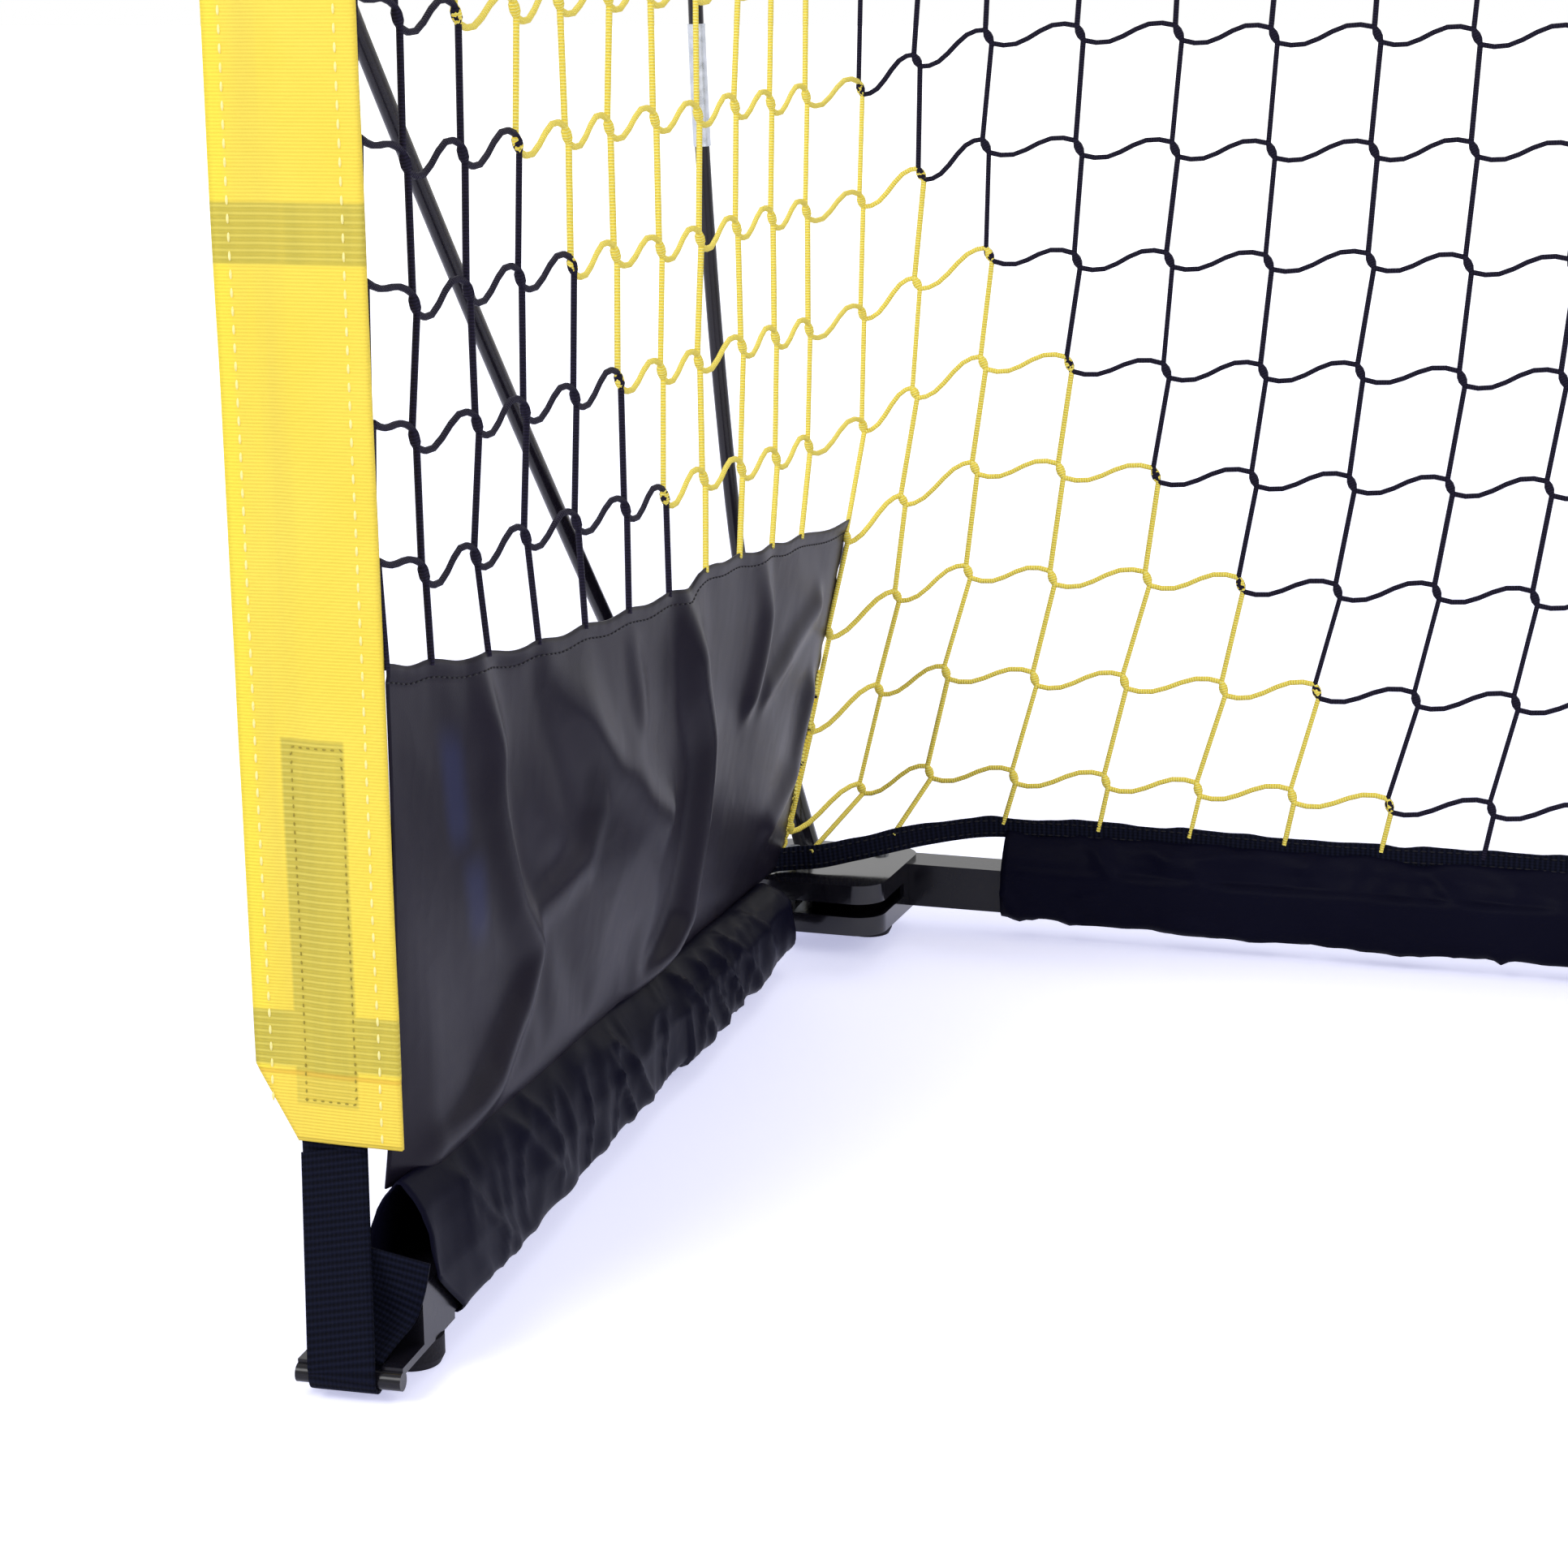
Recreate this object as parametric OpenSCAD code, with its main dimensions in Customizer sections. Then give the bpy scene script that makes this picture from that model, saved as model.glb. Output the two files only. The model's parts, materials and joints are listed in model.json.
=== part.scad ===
// Portable bow-pole football goal: a folding steel base, four bow poles,
// fabric post and crossbar bands, nets, skirts, sleeves and strap hooks.
// Millimetres, +Z up. The front (mouth) faces -Y, the width runs along X.
// Origin: centre of the base on the floor.

/* [Goal] */
// Width of the mouth over the outer edges of the post bands
mouth_w = 1830; // [1500:10:2200]
// Height from the floor to the top of the crossbar band
goal_h = 1220; // [1000:10:1500]
// Depth of the base from the straps in front to the rear housings
base_d = 644; // [560:2:800]

/* [Base frame] */
// Outside size of the square base tube
tube_w = 22; // [20:1:24]
// Wall of the base tube
tube_wall = 1.2; // [0.8:0.1:2]
// Length of the inner coupler that joins the two rear tubes
coupler_l = 160; // [100:5:220]
// Height of the rubber feet under the housings
foot_h = 12; // [8:1:20]
// Diameter of the rubber feet
foot_d = 24; // [18:1:30]
// Leg toe-in: how far the leg's front end lies inside the pivot
toe_in = 42; // [20:1:60]

/* [Corner housings] */
// Sheet thickness of a housing
plate_t = 2; // [1.5:0.25:3]
// Width of a housing
housing_w = 81; // [78:1:100]
// Depth of a housing, front to back
housing_d = 79; // [76:1:96]
// Corner radius of a housing
housing_r = 14; // [10:1:20]
// How far a housing reaches out beyond the mouth's outer edge
housing_out = 10; // [6:1:16]
// Length of the rear tube that sits inside a housing
tube_seat = 31; // [26:1:36]
// Distance from a tube's end to its rivet
rivet_edge = 12; // [8:1:16]
// Distance from the mouth's outer edge in to the pivot
pivot_inset = 15; // [13:1:20]
// Distance from the rear tube's centre line forward to the pivot
pivot_offset = 30; // [29:1:36]
// Diameter of the pivot bolt
pivot_d = 8; // [6:0.5:10]
// Height of the pivot nut
nut_h = 6; // [4:0.5:8]
// Width across the pivot nut
nut_w = 13; // [12:0.5:16]
// Thickness of the steel tang that the leg swings on
tang_t = 5; // [3:0.5:8]
// Width of the tang
tang_w = 18; // [14:1:18]
// Distance from the pivot to the start of the leg tube
tang_reach = 72; // [70:1:90]
// Length of the tang inside the leg tube
tang_grip = 28; // [20:1:40]
// Diameter of the rivets
rivet_d = 5; // [4:0.5:6]

/* [Leg end] */
// Thickness of the strap hook plate
hook_t = 3; // [2:0.5:4]
// Distance from the leg tube's end to the hook's bar
hook_reach = 24; // [20:1:32]
// Diameter of the hook's bar
bar_d = 7; // [5:0.5:9]
// Height of the bar's centre above the floor
bar_z = 9; // [8:0.5:12]
// How far the strap slants forward from the band down to the bar
strap_slant = 32; // [20:1:45]
// Diameter of the snap button
button_d = 8; // [6:0.5:9]
// Travel of the snap button
button_travel = 4; // [3:0.5:5]

/* [Bow poles] */
// Diameter of the fibreglass poles
pole_d = 7.5; // [6:0.5:9.5]
// Wall of the steel ferrules
ferrule_wall = 0.7; // [0.5:0.1:1]
// Length of a ferrule
ferrule_l = 60; // [40:5:80]
// Outside diameter of a pole socket
socket_d = 13; // [12.5:0.5:15]
// Length of a pole socket along the pole
socket_l = 34; // [28:1:45]
// Lean of a rear socket from upright, outwards
rear_lean = 16; // [10:1:18]
// Lean of a front socket from upright, forwards
front_lean = 53; // [50:1:56]
// Length of the rubber cap on a pole's top end
cap_l = 26; // [20:1:40]
// Distance from the mouth's outer edge in to a front pole's tip
front_tip_in = 33; // [28:1:40]
// Distance from the mouth's outer edge in to a rear pole's tip
rear_tip_in = 28; // [24:1:36]
// How far a front pole's tip lies below the top
front_tip_drop = 24; // [16:1:32]
// How far a rear pole's tip lies below the top
rear_tip_drop = 28; // [20:1:36]

/* [Fabric] */
// Width of the post and crossbar bands
band_w = 57; // [45:1:70]
// Thickness of a folded band
band_t = 2.4; // [1.6:0.2:4]
// Height of a post band's lower hem above the floor
band_z = 84; // [80:1:110]
// Width of the strap and of the webbing behind the bands
strap_w = 25; // [20:1:30]
// Thickness of the strap
strap_t = 1.6; // [1:0.2:2.4]
// Thickness of the skirt, sleeve and hem cloth
cloth_t = 1; // [0.8:0.1:1.6]
// Height of the skirt's front edge
skirt_h = 190; // [140:5:240]
// Height of the skirt's rear edge
skirt_rear_h = 172; // [120:2:220]
// Bare length between the mouth's outer edge and a rear sleeve
tube_bare = 120; // [90:5:200]
// Length of the coupler that a rear sleeve covers
coupler_cover = 35; // [20:1:60]
// Height of a leg sleeve's ridge at its front end
leg_ridge_front = 72; // [60:1:90]
// Height of a leg sleeve's ridge at its rear end
leg_ridge_rear = 44; // [40:1:60]
// Height of the rear sleeves' ridge
rear_ridge = 51; // [44:1:60]
// Height of the webbing along the hems
hem_h = 10; // [8:1:16]
// Distance from the mouth's outer edge in to the net's rear corner
net_inset = 45; // [40:1:60]
// How far the top net lies below the top
net_drop = 31; // [20:1:45]
// Width of a net cord
cord_w = 2.2; // [1.5:0.1:3]
// Size of one mesh of the net
mesh = 50; // [40:1:120]

/* [Hidden] */

// Colours of the finishes
paint_black = "#15141c";
zinc = "#b9bcc2";
rubber_black = "#1a1a1d";
glass_black = "#120f18";
band_yellow = "#fddc3c";
webbing_black = "#0c0d1c";
cloth_black = "#24222e";
net_black = "#1d1a2e";

// Clearances
run_fit = 0.05;      // round parts that turn or slide in each other
cap_fit = 0.2;       // a straight cap on a bowed pole
side_gap = 0.3;      // flat faces of moving parts
seam_gap = 0.6;      // soft parts on different bodies
tip_gap = 0.4;       // a pole's cap behind the band
round_fn = 48;
arc_fn = 1440;

// Heights of the base
tube_z = foot_h + plate_t;
housing_h = tube_w + 2 * plate_t;
housing_top = foot_h + housing_h;
tang_z = tube_z + tube_w / 2 - tang_t / 2;

// Places in plan, left side (the right side is its mirror)
mouth_x = mouth_w / 2;
rear_y = base_d / 2 - plate_t - tube_w / 2 - side_gap;
strap_loop_r = bar_d / 2 + side_gap + strap_t;
pivot = [-(mouth_x - pivot_inset), rear_y - pivot_offset];
strap_in = strap_w / 2 - 2;
strap_slot = strap_t + 4;
// The toe-in carries the strap's outer edge this far ahead of the bar's centre
strap_skew = (strap_in + strap_w / 2) * toe_in / (pivot[1] + base_d / 2 - strap_loop_r);
bar_y = -base_d / 2 + strap_loop_r + strap_skew;
leg_run = pivot[1] - bar_y;
toe = asin(toe_in / leg_run);
leg_l = leg_run / cos(toe) - hook_reach;
front_y = bar_y + strap_slant;
housing_x = -(mouth_x + housing_out);
housing_y = base_d / 2 - housing_d;
foot_at = [housing_x + housing_w - foot_d / 2 - 8, housing_y + housing_d / 2 + 9];
tube_end_x = housing_x + housing_w - tube_seat;
tube_rivet_x = tube_end_x + rivet_edge;
button_x = coupler_l / 4;

// Pole places
front_socket_at = [-mouth_x + 2, housing_y + 18];
rear_socket_at = [-(mouth_x - 11), base_d / 2 - 10];
socket_skip = 9;
front_pole_top = [
  -(mouth_x - front_tip_in), front_y + band_t / 2 + socket_d / 2 + tip_gap, goal_h - front_tip_drop
];
rear_pole_top = [-(mouth_x - rear_tip_in), rear_y - 2, goal_h - rear_tip_drop];

// Net and hems
net_top = goal_h - net_drop;
net_x = -(mouth_x - net_inset);
net_front_x = -(mouth_x - band_w);
net_front_y = front_y + band_t / 2;
skirt_front_z = leg_ridge_front + seam_gap;
skirt_rear_z = leg_ridge_rear + seam_gap;
skirt_rear_low = [pivot[0] - 3, pivot[1] - 12, skirt_rear_z];
skirt_rear_top = [net_x, rear_y - 26, skirt_rear_z + skirt_rear_h];
hem_z = rear_ridge + seam_gap;
sleeve_half = tube_w / 2 + 2;
rear_sleeve_out = mouth_x - tube_bare;
rear_sleeve_in = coupler_l / 2 - coupler_cover;
leg_sleeve_rear = tang_reach - 10;
hook_plate_l = foot_d + 6;
leg_sleeve_front = leg_l - hook_plate_l - 4;

// ---------- Small helpers ----------

function unit(v) = v / norm(v);
function across(v, u) = unit(v - u * (v * u));

module at_side(side) {
  if (side == "left") children();
  else mirror([1, 0, 0]) children();
}

module at_both() {
  children();
  mirror([1, 0, 0]) children();
}

// Turns from the leg's own frame: pivot at the origin, the leg along -Y
module leg_frame() {
  translate([pivot[0], pivot[1], 0]) rotate([0, 0, toe]) children();
}

module box(low, high) {
  translate(low) cube(high - low);
}

module rounded_plate(w, d, r, h) {
  linear_extrude(h) {
    translate([r, 0]) square([w - 2 * r, d]);
    translate([0, r]) square([w, d - 2 * r]);
    for (x = [r, w - r], y = [r, d - r]) translate([x, y]) circle(r, $fn = round_fn);
  }
}

module square_tube(l) {
  // Along +X, centred on the X axis
  rotate([90, 0, 90]) linear_extrude(l) difference() {
    square(tube_w, center = true);
    square(tube_w - 2 * tube_wall, center = true);
  }
}

module pin(d, z0, z1) {
  translate([0, 0, z0]) cylinder(d = d, h = z1 - z0, $fn = round_fn);
}

// ---------- Bow poles ----------
// A bow is a chain of arcs in one plane from a foot to a tip. Each part turns
// back by its angle over a share of the chord. The last two shares are solved
// so that the chain ends on the tip.

function arc_gain(turn) = turn == 0 ? 1 : sin(turn / 2) / (turn / 2 * PI / 180);
function part_step(a, turn) = arc_gain(turn) * [sin(a - turn / 2), cos(a - turn / 2)];
function sum_to(list, i) = i < 0 ? 0 : list[i] + sum_to(list, i - 1);

function solve_shares(start, turns, shares) =
  let (
    n = len(turns),
    heads = [for (i = [0:n - 1]) start - sum_to(turns, i - 1)],
    steps = [for (i = [0:n - 1]) part_step(heads[i], turns[i])],
    used = [for (i = [0:n - 3]) steps[i] * shares[i]],
    left = [0 - sum_to([for (u = used) u[0]], n - 3), 1 - sum_to([for (u = used) u[1]], n - 3)],
    a = steps[n - 2],
    b = steps[n - 1],
    det = a[0] * b[1] - a[1] * b[0]
  )
  concat(shares, [(left[0] * b[1] - left[1] * b[0]) / det, (a[0] * left[1] - a[1] * left[0]) / det]);

// [foot, bulge direction, chord direction, heads, turns, lengths, starts]
function make_bow(foot, tip, bulge, start, turns, shares) =
  let (
    chord = norm(tip - foot),
    u = unit(tip - foot),
    all = solve_shares(start, turns, shares),
    lengths = all * chord,
    n = len(turns)
  )
  [
    foot, across(bulge, u), u,
    [for (i = [0:n - 1]) start - sum_to(turns, i - 1)],
    turns, lengths,
    [for (i = [0:n - 1]) sum_to(lengths, i - 1)]
  ];

function bow_length(b) = sum_to(b[5], len(b[5]) - 1);

// Step in the bow's plane over the stretch of part i that lies before s
function step_before(b, i, s) =
  let (
    run = max(0, min(b[5][i], s - b[6][i])),
    turn = b[4][i] * run / b[5][i]
  )
  run * part_step(b[3][i], turn);

function bow_point(b, s) =
  let (
    steps = [for (i = [0:len(b[4]) - 1]) step_before(b, i, s)],
    side = sum_to([for (p = steps) p[0]], len(steps) - 1),
    along = sum_to([for (p = steps) p[1]], len(steps) - 1)
  )
  b[0] + side * b[1] + along * b[2];

// Angle of the bow's direction from its chord at length s
function bow_angle(b, s) =
  let (turned = [for (i = [0:len(b[4]) - 1]) b[4][i] * max(0, min(b[5][i], s - b[6][i])) / b[5][i]])
  b[3][0] - sum_to(turned, len(turned) - 1);

function bow_dir(b, s) =
  let (a = bow_angle(b, s))
  cos(a) * b[2] + sin(a) * b[1];

// Places children with +X along the bulge, +Y along the chord, at point p
module bow_frame(b, p) {
  w = cross(b[1], b[2]);
  multmatrix([
    [b[1][0], b[2][0], w[0], p[0]],
    [b[1][1], b[2][1], w[1], p[1]],
    [b[1][2], b[2][2], w[2], p[2]],
    [0, 0, 0, 1]
  ]) children();
}

module ring_section(r_out, r_in) {
  difference() {
    circle(r_out, $fn = round_fn);
    if (r_in > 0) circle(r_in, $fn = round_fn);
  }
}

// A short straight core inside a rod or a tube's wall joins each arc to the next
core_half = 1;
core_skin = 0.2;

// The stretch from s0 to s1 of the bow as a round rod, or as a tube with r_in
module bow_rod(b, s0, s1, r_out, r_in = 0) {
  core_in = r_in > 0 ? r_in + core_skin : 0;
  for (joint = b[6])
    if (joint > s0 + core_half && joint < s1 - core_half)
      bow_tip_rod(b, joint, -core_half, core_half, r_out - core_skin, core_in);
  for (i = [0:len(b[4]) - 1]) {
    from = max(s0, b[6][i]);
    to = min(s1, b[6][i] + b[5][i]);
    if (to - from > 0.01) bow_frame(b, bow_point(b, from)) {
      angle = bow_angle(b, from);
      turn = b[4][i] * (to - from) / b[5][i];
      radius = turn == 0 ? 0 : (to - from) / (turn * PI / 180);
      if (turn == 0) rotate([-90, 0, -angle]) linear_extrude(to - from) ring_section(r_out, r_in);
      else rotate([0, 0, -angle]) translate([-radius, 0, 0])
        rotate_extrude(angle = turn, $fn = arc_fn) translate([radius, 0]) ring_section(r_out, r_in);
    }
  }
}

// Straight rod along the bow's direction at s, reaching from a to b beyond it
module bow_tip_rod(b, s, a0, a1, r_out, r_in = 0) {
  bow_frame(b, bow_point(b, s)) rotate([-90, 0, -bow_angle(b, s)])
    translate([0, 0, a0]) linear_extrude(a1 - a0) ring_section(r_out, r_in);
}

rear_foot_dir = [-sin(rear_lean), 0, cos(rear_lean)];
front_foot_dir = [0, -sin(front_lean), cos(front_lean)];
rear_pole_foot = [rear_socket_at[0], rear_socket_at[1], housing_top] + socket_skip * rear_foot_dir;
front_pole_foot = [front_socket_at[0], front_socket_at[1], housing_top] + socket_skip * front_foot_dir;

function lean_of(foot, tip, side) =
  let (u = unit(tip - foot))
  acos(u[2]) * (u * side > 0 ? 1 : -1);

// Turns of the bows, one per arc; a zero is a straight stretch
rear_turns = [0, 10.5, 17.5];
front_turns = [0, 12, 3, 38, 0];
straight_share = (socket_l + 2) / goal_h;
rear_bow = make_bow(
  rear_pole_foot, rear_pole_top, [-1, 0, 0],
  rear_lean - lean_of(rear_pole_foot, rear_pole_top, [-1, 0, 0]), rear_turns, [straight_share]
);
front_bow = make_bow(
  front_pole_foot, front_pole_top, [-0.14, -1, 0],
  front_lean - lean_of(front_pole_foot, front_pole_top, [0, -1, 0]), front_turns,
  [straight_share, 0.13, 0.3]
);
rear_len = bow_length(rear_bow);
front_len = bow_length(front_bow);
pole_r = pole_d / 2;

module pole_stretch(b, s0, s1) {
  color(glass_black) bow_rod(b, s0, s1, pole_r);
}

module pole_socket(b, at) {
  color(paint_black) difference() {
    bow_tip_rod(b, 0, -2 * socket_skip, socket_l - socket_skip, socket_d / 2);
    bow_tip_rod(b, 0, 0, socket_l, pole_r + run_fit);
    // The socket stands on the housing, cut level with it
    translate([at[0] - socket_l, at[1] - socket_l, housing_top - 2 * socket_l]) cube(2 * socket_l);
  }
}

module ferrule(b, s) {
  color(zinc) bow_rod(
    b, s - ferrule_l / 2, s + ferrule_l / 2,
    pole_r + run_fit + ferrule_wall, pole_r + run_fit
  );
}

module pole_cap(b, l) {
  color(rubber_black) difference() {
    bow_tip_rod(b, l, 5 - cap_l, 5, socket_d / 2);
    bow_tip_rod(b, l, -cap_l, 0, pole_r + cap_fit);
  }
}

module pole_ferrules(side) {
  at_side(side) {
    ferrule(front_bow, front_len / 2);
    ferrule(rear_bow, rear_len / 3);
    ferrule(rear_bow, rear_len * 2 / 3);
  }
}

module pole_caps(side) {
  at_side(side) {
    pole_cap(front_bow, front_len);
    pole_cap(rear_bow, rear_len);
  }
}

// ---------- Base frame ----------

module rear_tube(side) {
  at_side(side) color(paint_black) difference() {
    translate([tube_end_x, rear_y, tube_z + tube_w / 2]) square_tube(-tube_end_x);
    translate([tube_rivet_x, rear_y, 0]) pin(rivet_d + 2 * run_fit, tube_z - 1, housing_top);
    translate([-button_x, rear_y, 0])
      pin((side == "left" ? rivet_d : button_d) + 2 * run_fit, tube_z + tube_w / 2, housing_top);
  }
}

coupler_w = tube_w - 2 * tube_wall - 2 * run_fit;

module rear_coupler() {
  color(zinc) difference() {
    box(
      [-coupler_l / 2, rear_y - coupler_w / 2, tube_z + tube_w / 2 - coupler_w / 2],
      [coupler_l / 2, rear_y + coupler_w / 2, tube_z + tube_w / 2 + coupler_w / 2]
    );
    box(
      [-coupler_l, rear_y - coupler_w / 2 + tube_wall, tube_z + tube_w / 2 - coupler_w / 2 + tube_wall],
      [coupler_l, rear_y + coupler_w / 2 - tube_wall, tube_z + tube_w / 2 + coupler_w / 2 - tube_wall]
    );
    translate([button_x, rear_y, 0]) pin(button_d + 2 * run_fit, tube_z + tube_w / 2, housing_top);
    translate([-button_x, rear_y, 0]) pin(rivet_d + 2 * run_fit, tube_z + tube_w / 2, housing_top);
  }
}

coupler_roof = tube_z + tube_w / 2 + coupler_w / 2 - tube_wall;
coupler_floor = tube_z + tube_w / 2 - coupler_w / 2 + tube_wall;
button_flange = 1.6;
button_low = coupler_roof - run_fit - button_flange;

module snap_button() {
  color(zinc) translate([button_x, rear_y, 0]) {
    pin(button_d, button_low, tube_z + tube_w + button_travel - 1);
    translate([0, 0, tube_z + tube_w + button_travel - 1])
      cylinder(d1 = button_d, d2 = button_d - 2, h = 1, $fn = round_fn);
    pin(button_d + 3, button_low, button_low + button_flange);
  }
}

module button_spring() {
  color(zinc) translate([button_x, rear_y, coupler_floor])
    linear_extrude(button_low - coupler_floor) ring_section(button_d / 2, button_d / 2 - 1);
}

module corner_housing(side) {
  slit_low = tang_z - 1;
  slit_high = tang_z + tang_t + 1;
  at_side(side) color(paint_black) difference() {
    translate([housing_x, housing_y, foot_h]) rounded_plate(housing_w, housing_d, housing_r, housing_h);
    translate([housing_x + plate_t, housing_y + plate_t, tube_z])
      rounded_plate(housing_w - 2 * plate_t, housing_d - 2 * plate_t, housing_r - plate_t, tube_w);
    // Mouth for the rear tube
    box(
      [housing_x + housing_w / 2, rear_y - tube_w / 2 - side_gap, tube_z],
      [housing_x + housing_w + 1, rear_y + tube_w / 2 + side_gap, tube_z + tube_w]
    );
    // Slit that the tang swings through
    box(
      [pivot[0] - tang_w / 2 - side_gap, housing_y - 1, slit_low],
      [housing_x + housing_w + 1, pivot[1] + tang_w / 2 + side_gap, slit_high]
    );
    translate([pivot[0], pivot[1], 0]) pin(pivot_d + 2 * run_fit, 0, 2 * housing_top);
    translate([tube_rivet_x, rear_y, 0]) pin(rivet_d + 2 * run_fit, 0, 2 * housing_top);
  }
}

module pivot_bolts() {
  color(zinc) at_both() translate([pivot[0], pivot[1], 0]) {
    pin(pivot_d, foot_h, housing_top + nut_h + 2);
    pin(nut_w, foot_h - 4, foot_h);
  }
}

module pivot_nuts() {
  color(zinc) at_both() translate([pivot[0], pivot[1], housing_top]) difference() {
    cylinder(d = nut_w / cos(30), h = nut_h, $fn = 6);
    translate([0, 0, -1]) cylinder(d = pivot_d + 2 * run_fit, h = nut_h + 2, $fn = round_fn);
  }
}

module pivot_washers() {
  color(zinc) at_both() translate([pivot[0], pivot[1], 0])
    for (span = [[tube_z, tang_z - 0.1], [tang_z + tang_t + 0.1, tube_z + tube_w]])
      translate([0, 0, span[0]]) linear_extrude(span[1] - span[0])
        ring_section(tang_w / 2, pivot_d / 2 + run_fit);
}

module tube_rivets() {
  color(zinc) {
    at_both() translate([tube_rivet_x, rear_y, 0]) {
      pin(rivet_d, foot_h, housing_top);
      pin(rivet_d * 1.8, housing_top, housing_top + 2);
    }
    translate([-button_x, rear_y, 0]) {
      pin(rivet_d, coupler_roof, tube_z + tube_w);
      pin(rivet_d * 1.8, tube_z + tube_w, tube_z + tube_w + 2);
    }
  }
}

module rubber_foot(h) {
  color(rubber_black) {
    cylinder(d1 = foot_d - 3, d2 = foot_d, h = 3, $fn = round_fn);
    translate([0, 0, 3]) cylinder(d = foot_d, h = h - 3, $fn = round_fn);
  }
}

module rear_feet() {
  at_both() translate([foot_at[0], foot_at[1], 0]) rubber_foot(foot_h);
}

// ---------- Folding legs, in the leg's frame ----------

module leg_tube(side) {
  at_side(side) leg_frame() color(paint_black) difference() {
    translate([0, -leg_l, tube_z + tube_w / 2]) rotate([0, 0, 90]) square_tube(leg_l - tang_reach);
    for (y = tang_rivets) translate([0, -y, 0]) pin(rivet_d + 2 * run_fit, 0, housing_top);
  }
}

tang_rivets = [tang_reach + 7, tang_reach + tang_grip - 7];

module leg_tang(side) {
  at_side(side) leg_frame() color(zinc) translate([0, 0, tang_z]) difference() {
    linear_extrude(tang_t) {
      circle(d = tang_w, $fn = round_fn);
      translate([-tang_w / 2, -tang_reach - tang_grip]) square([tang_w, tang_reach + tang_grip]);
    }
    translate([0, 0, -1]) cylinder(d = pivot_d + 2 * run_fit, h = tang_t + 2, $fn = round_fn);
    for (y = tang_rivets) translate([0, -y, -1])
      cylinder(d = rivet_d + 2 * run_fit, h = tang_t + 2, $fn = round_fn);
  }
}

module leg_rivets(side) {
  at_side(side) leg_frame() color(zinc) for (y = tang_rivets) translate([0, -y, 0]) {
    pin(rivet_d, tube_z, tube_z + tube_w);
    pin(rivet_d * 1.5, tube_z + tube_w, tube_z + tube_w + 1);
  }
}

// A plate under the leg tube, with a slot and a round bar that hold the strap
module leg_hook(side) {
  half = tube_w / 2;
  arm = 5;
  slot_out = -strap_in - strap_w / 2 - 1;
  slot_in = -strap_in + strap_w / 2 + 1;
  slot_from = -leg_l - hook_reach + bar_d / 2;
  at_side(side) leg_frame() color(paint_black) {
    box([-half, -leg_l, tube_z - hook_t], [half, -leg_l + hook_plate_l, tube_z]);
    difference() {
      box([slot_out - arm, -leg_l - hook_reach, tube_z - hook_t], [half, -leg_l, tube_z]);
      box([slot_out, slot_from - bar_d, 0], [slot_in, slot_from + strap_slot, housing_top]);
    }
    translate([slot_out - arm, -leg_l - hook_reach, bar_z]) rotate([0, 90, 0])
      cylinder(d = bar_d, h = half - slot_out + arm, $fn = round_fn);
    // Plug that closes the leg tube's end
    box([-half, -leg_l - 2, tube_z], [half, -leg_l, tube_z + tube_w]);
  }
}

module leg_foot(side) {
  at_side(side) leg_frame() translate([0, foot_d / 2 + 2 - leg_l, 0]) rubber_foot(tube_z - hook_t);
}

// ---------- Cloth solids ----------

// A sheet from a grid of points: rows of points, thickened along dir
module sheet(grid, dir, t) {
  rows = len(grid);
  cols = len(grid[0]);
  size = rows * cols;
  pts = [for (k = [0.5, -0.5], r = grid, p = r) p + dir * t * k];
  function id(k, i, j) = k * size + i * cols + j;
  front = [for (i = [0:rows - 2], j = [0:cols - 2], h = [0, 1])
    h == 0 ? [id(0, i, j), id(0, i, j + 1), id(0, i + 1, j + 1)]
           : [id(0, i, j), id(0, i + 1, j + 1), id(0, i + 1, j)]];
  back = [for (f = front) [f[2] + size, f[1] + size, f[0] + size]];
  rim = concat(
    [for (j = [0:cols - 1]) id(0, 0, j)],
    [for (i = [1:rows - 1]) id(0, i, cols - 1)],
    [for (j = [cols - 2:-1:0]) id(0, rows - 1, j)],
    [for (i = [rows - 2:-1:1]) id(0, i, 0)]
  );
  m = len(rim);
  edge = [for (a = [0:m - 1], h = [0, 1])
    let (p = rim[a], q = rim[(a + 1) % m])
    h == 0 ? [q, p, p + size] : [q, p + size, q + size]];
  polyhedron(pts, concat(front, back, edge));
}

// A hollow sleeve from outer and inner closed rings, one pair per station
module hollow_loft(outer, inner) {
  stations = len(outer);
  n = len(outer[0]);
  size = stations * n;
  pts = concat([for (r = outer, p = r) p], [for (r = inner, p = r) p]);
  function id(k, i, j) = k * size + i * n + (j % n);
  skin = [for (i = [0:stations - 2], j = [0:n - 1], h = [0, 1])
    h == 0 ? [id(0, i, j), id(0, i, j + 1), id(0, i + 1, j + 1)]
           : [id(0, i, j), id(0, i + 1, j + 1), id(0, i + 1, j)]];
  lining = [for (f = skin) [f[2] + size, f[1] + size, f[0] + size]];
  ends = [for (j = [0:n - 1], h = [0, 1], e = [0, 1])
    let (
      i = e == 0 ? 0 : stations - 1,
      a = id(0, i, j), b = id(0, i, j + 1), c = id(1, i, j + 1), d = id(1, i, j),
      f = h == 0 ? [b, a, d] : [b, d, c]
    )
    e == 0 ? f : [f[2], f[1], f[0]]];
  polyhedron(pts, concat(skin, lining, ends));
}

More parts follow.
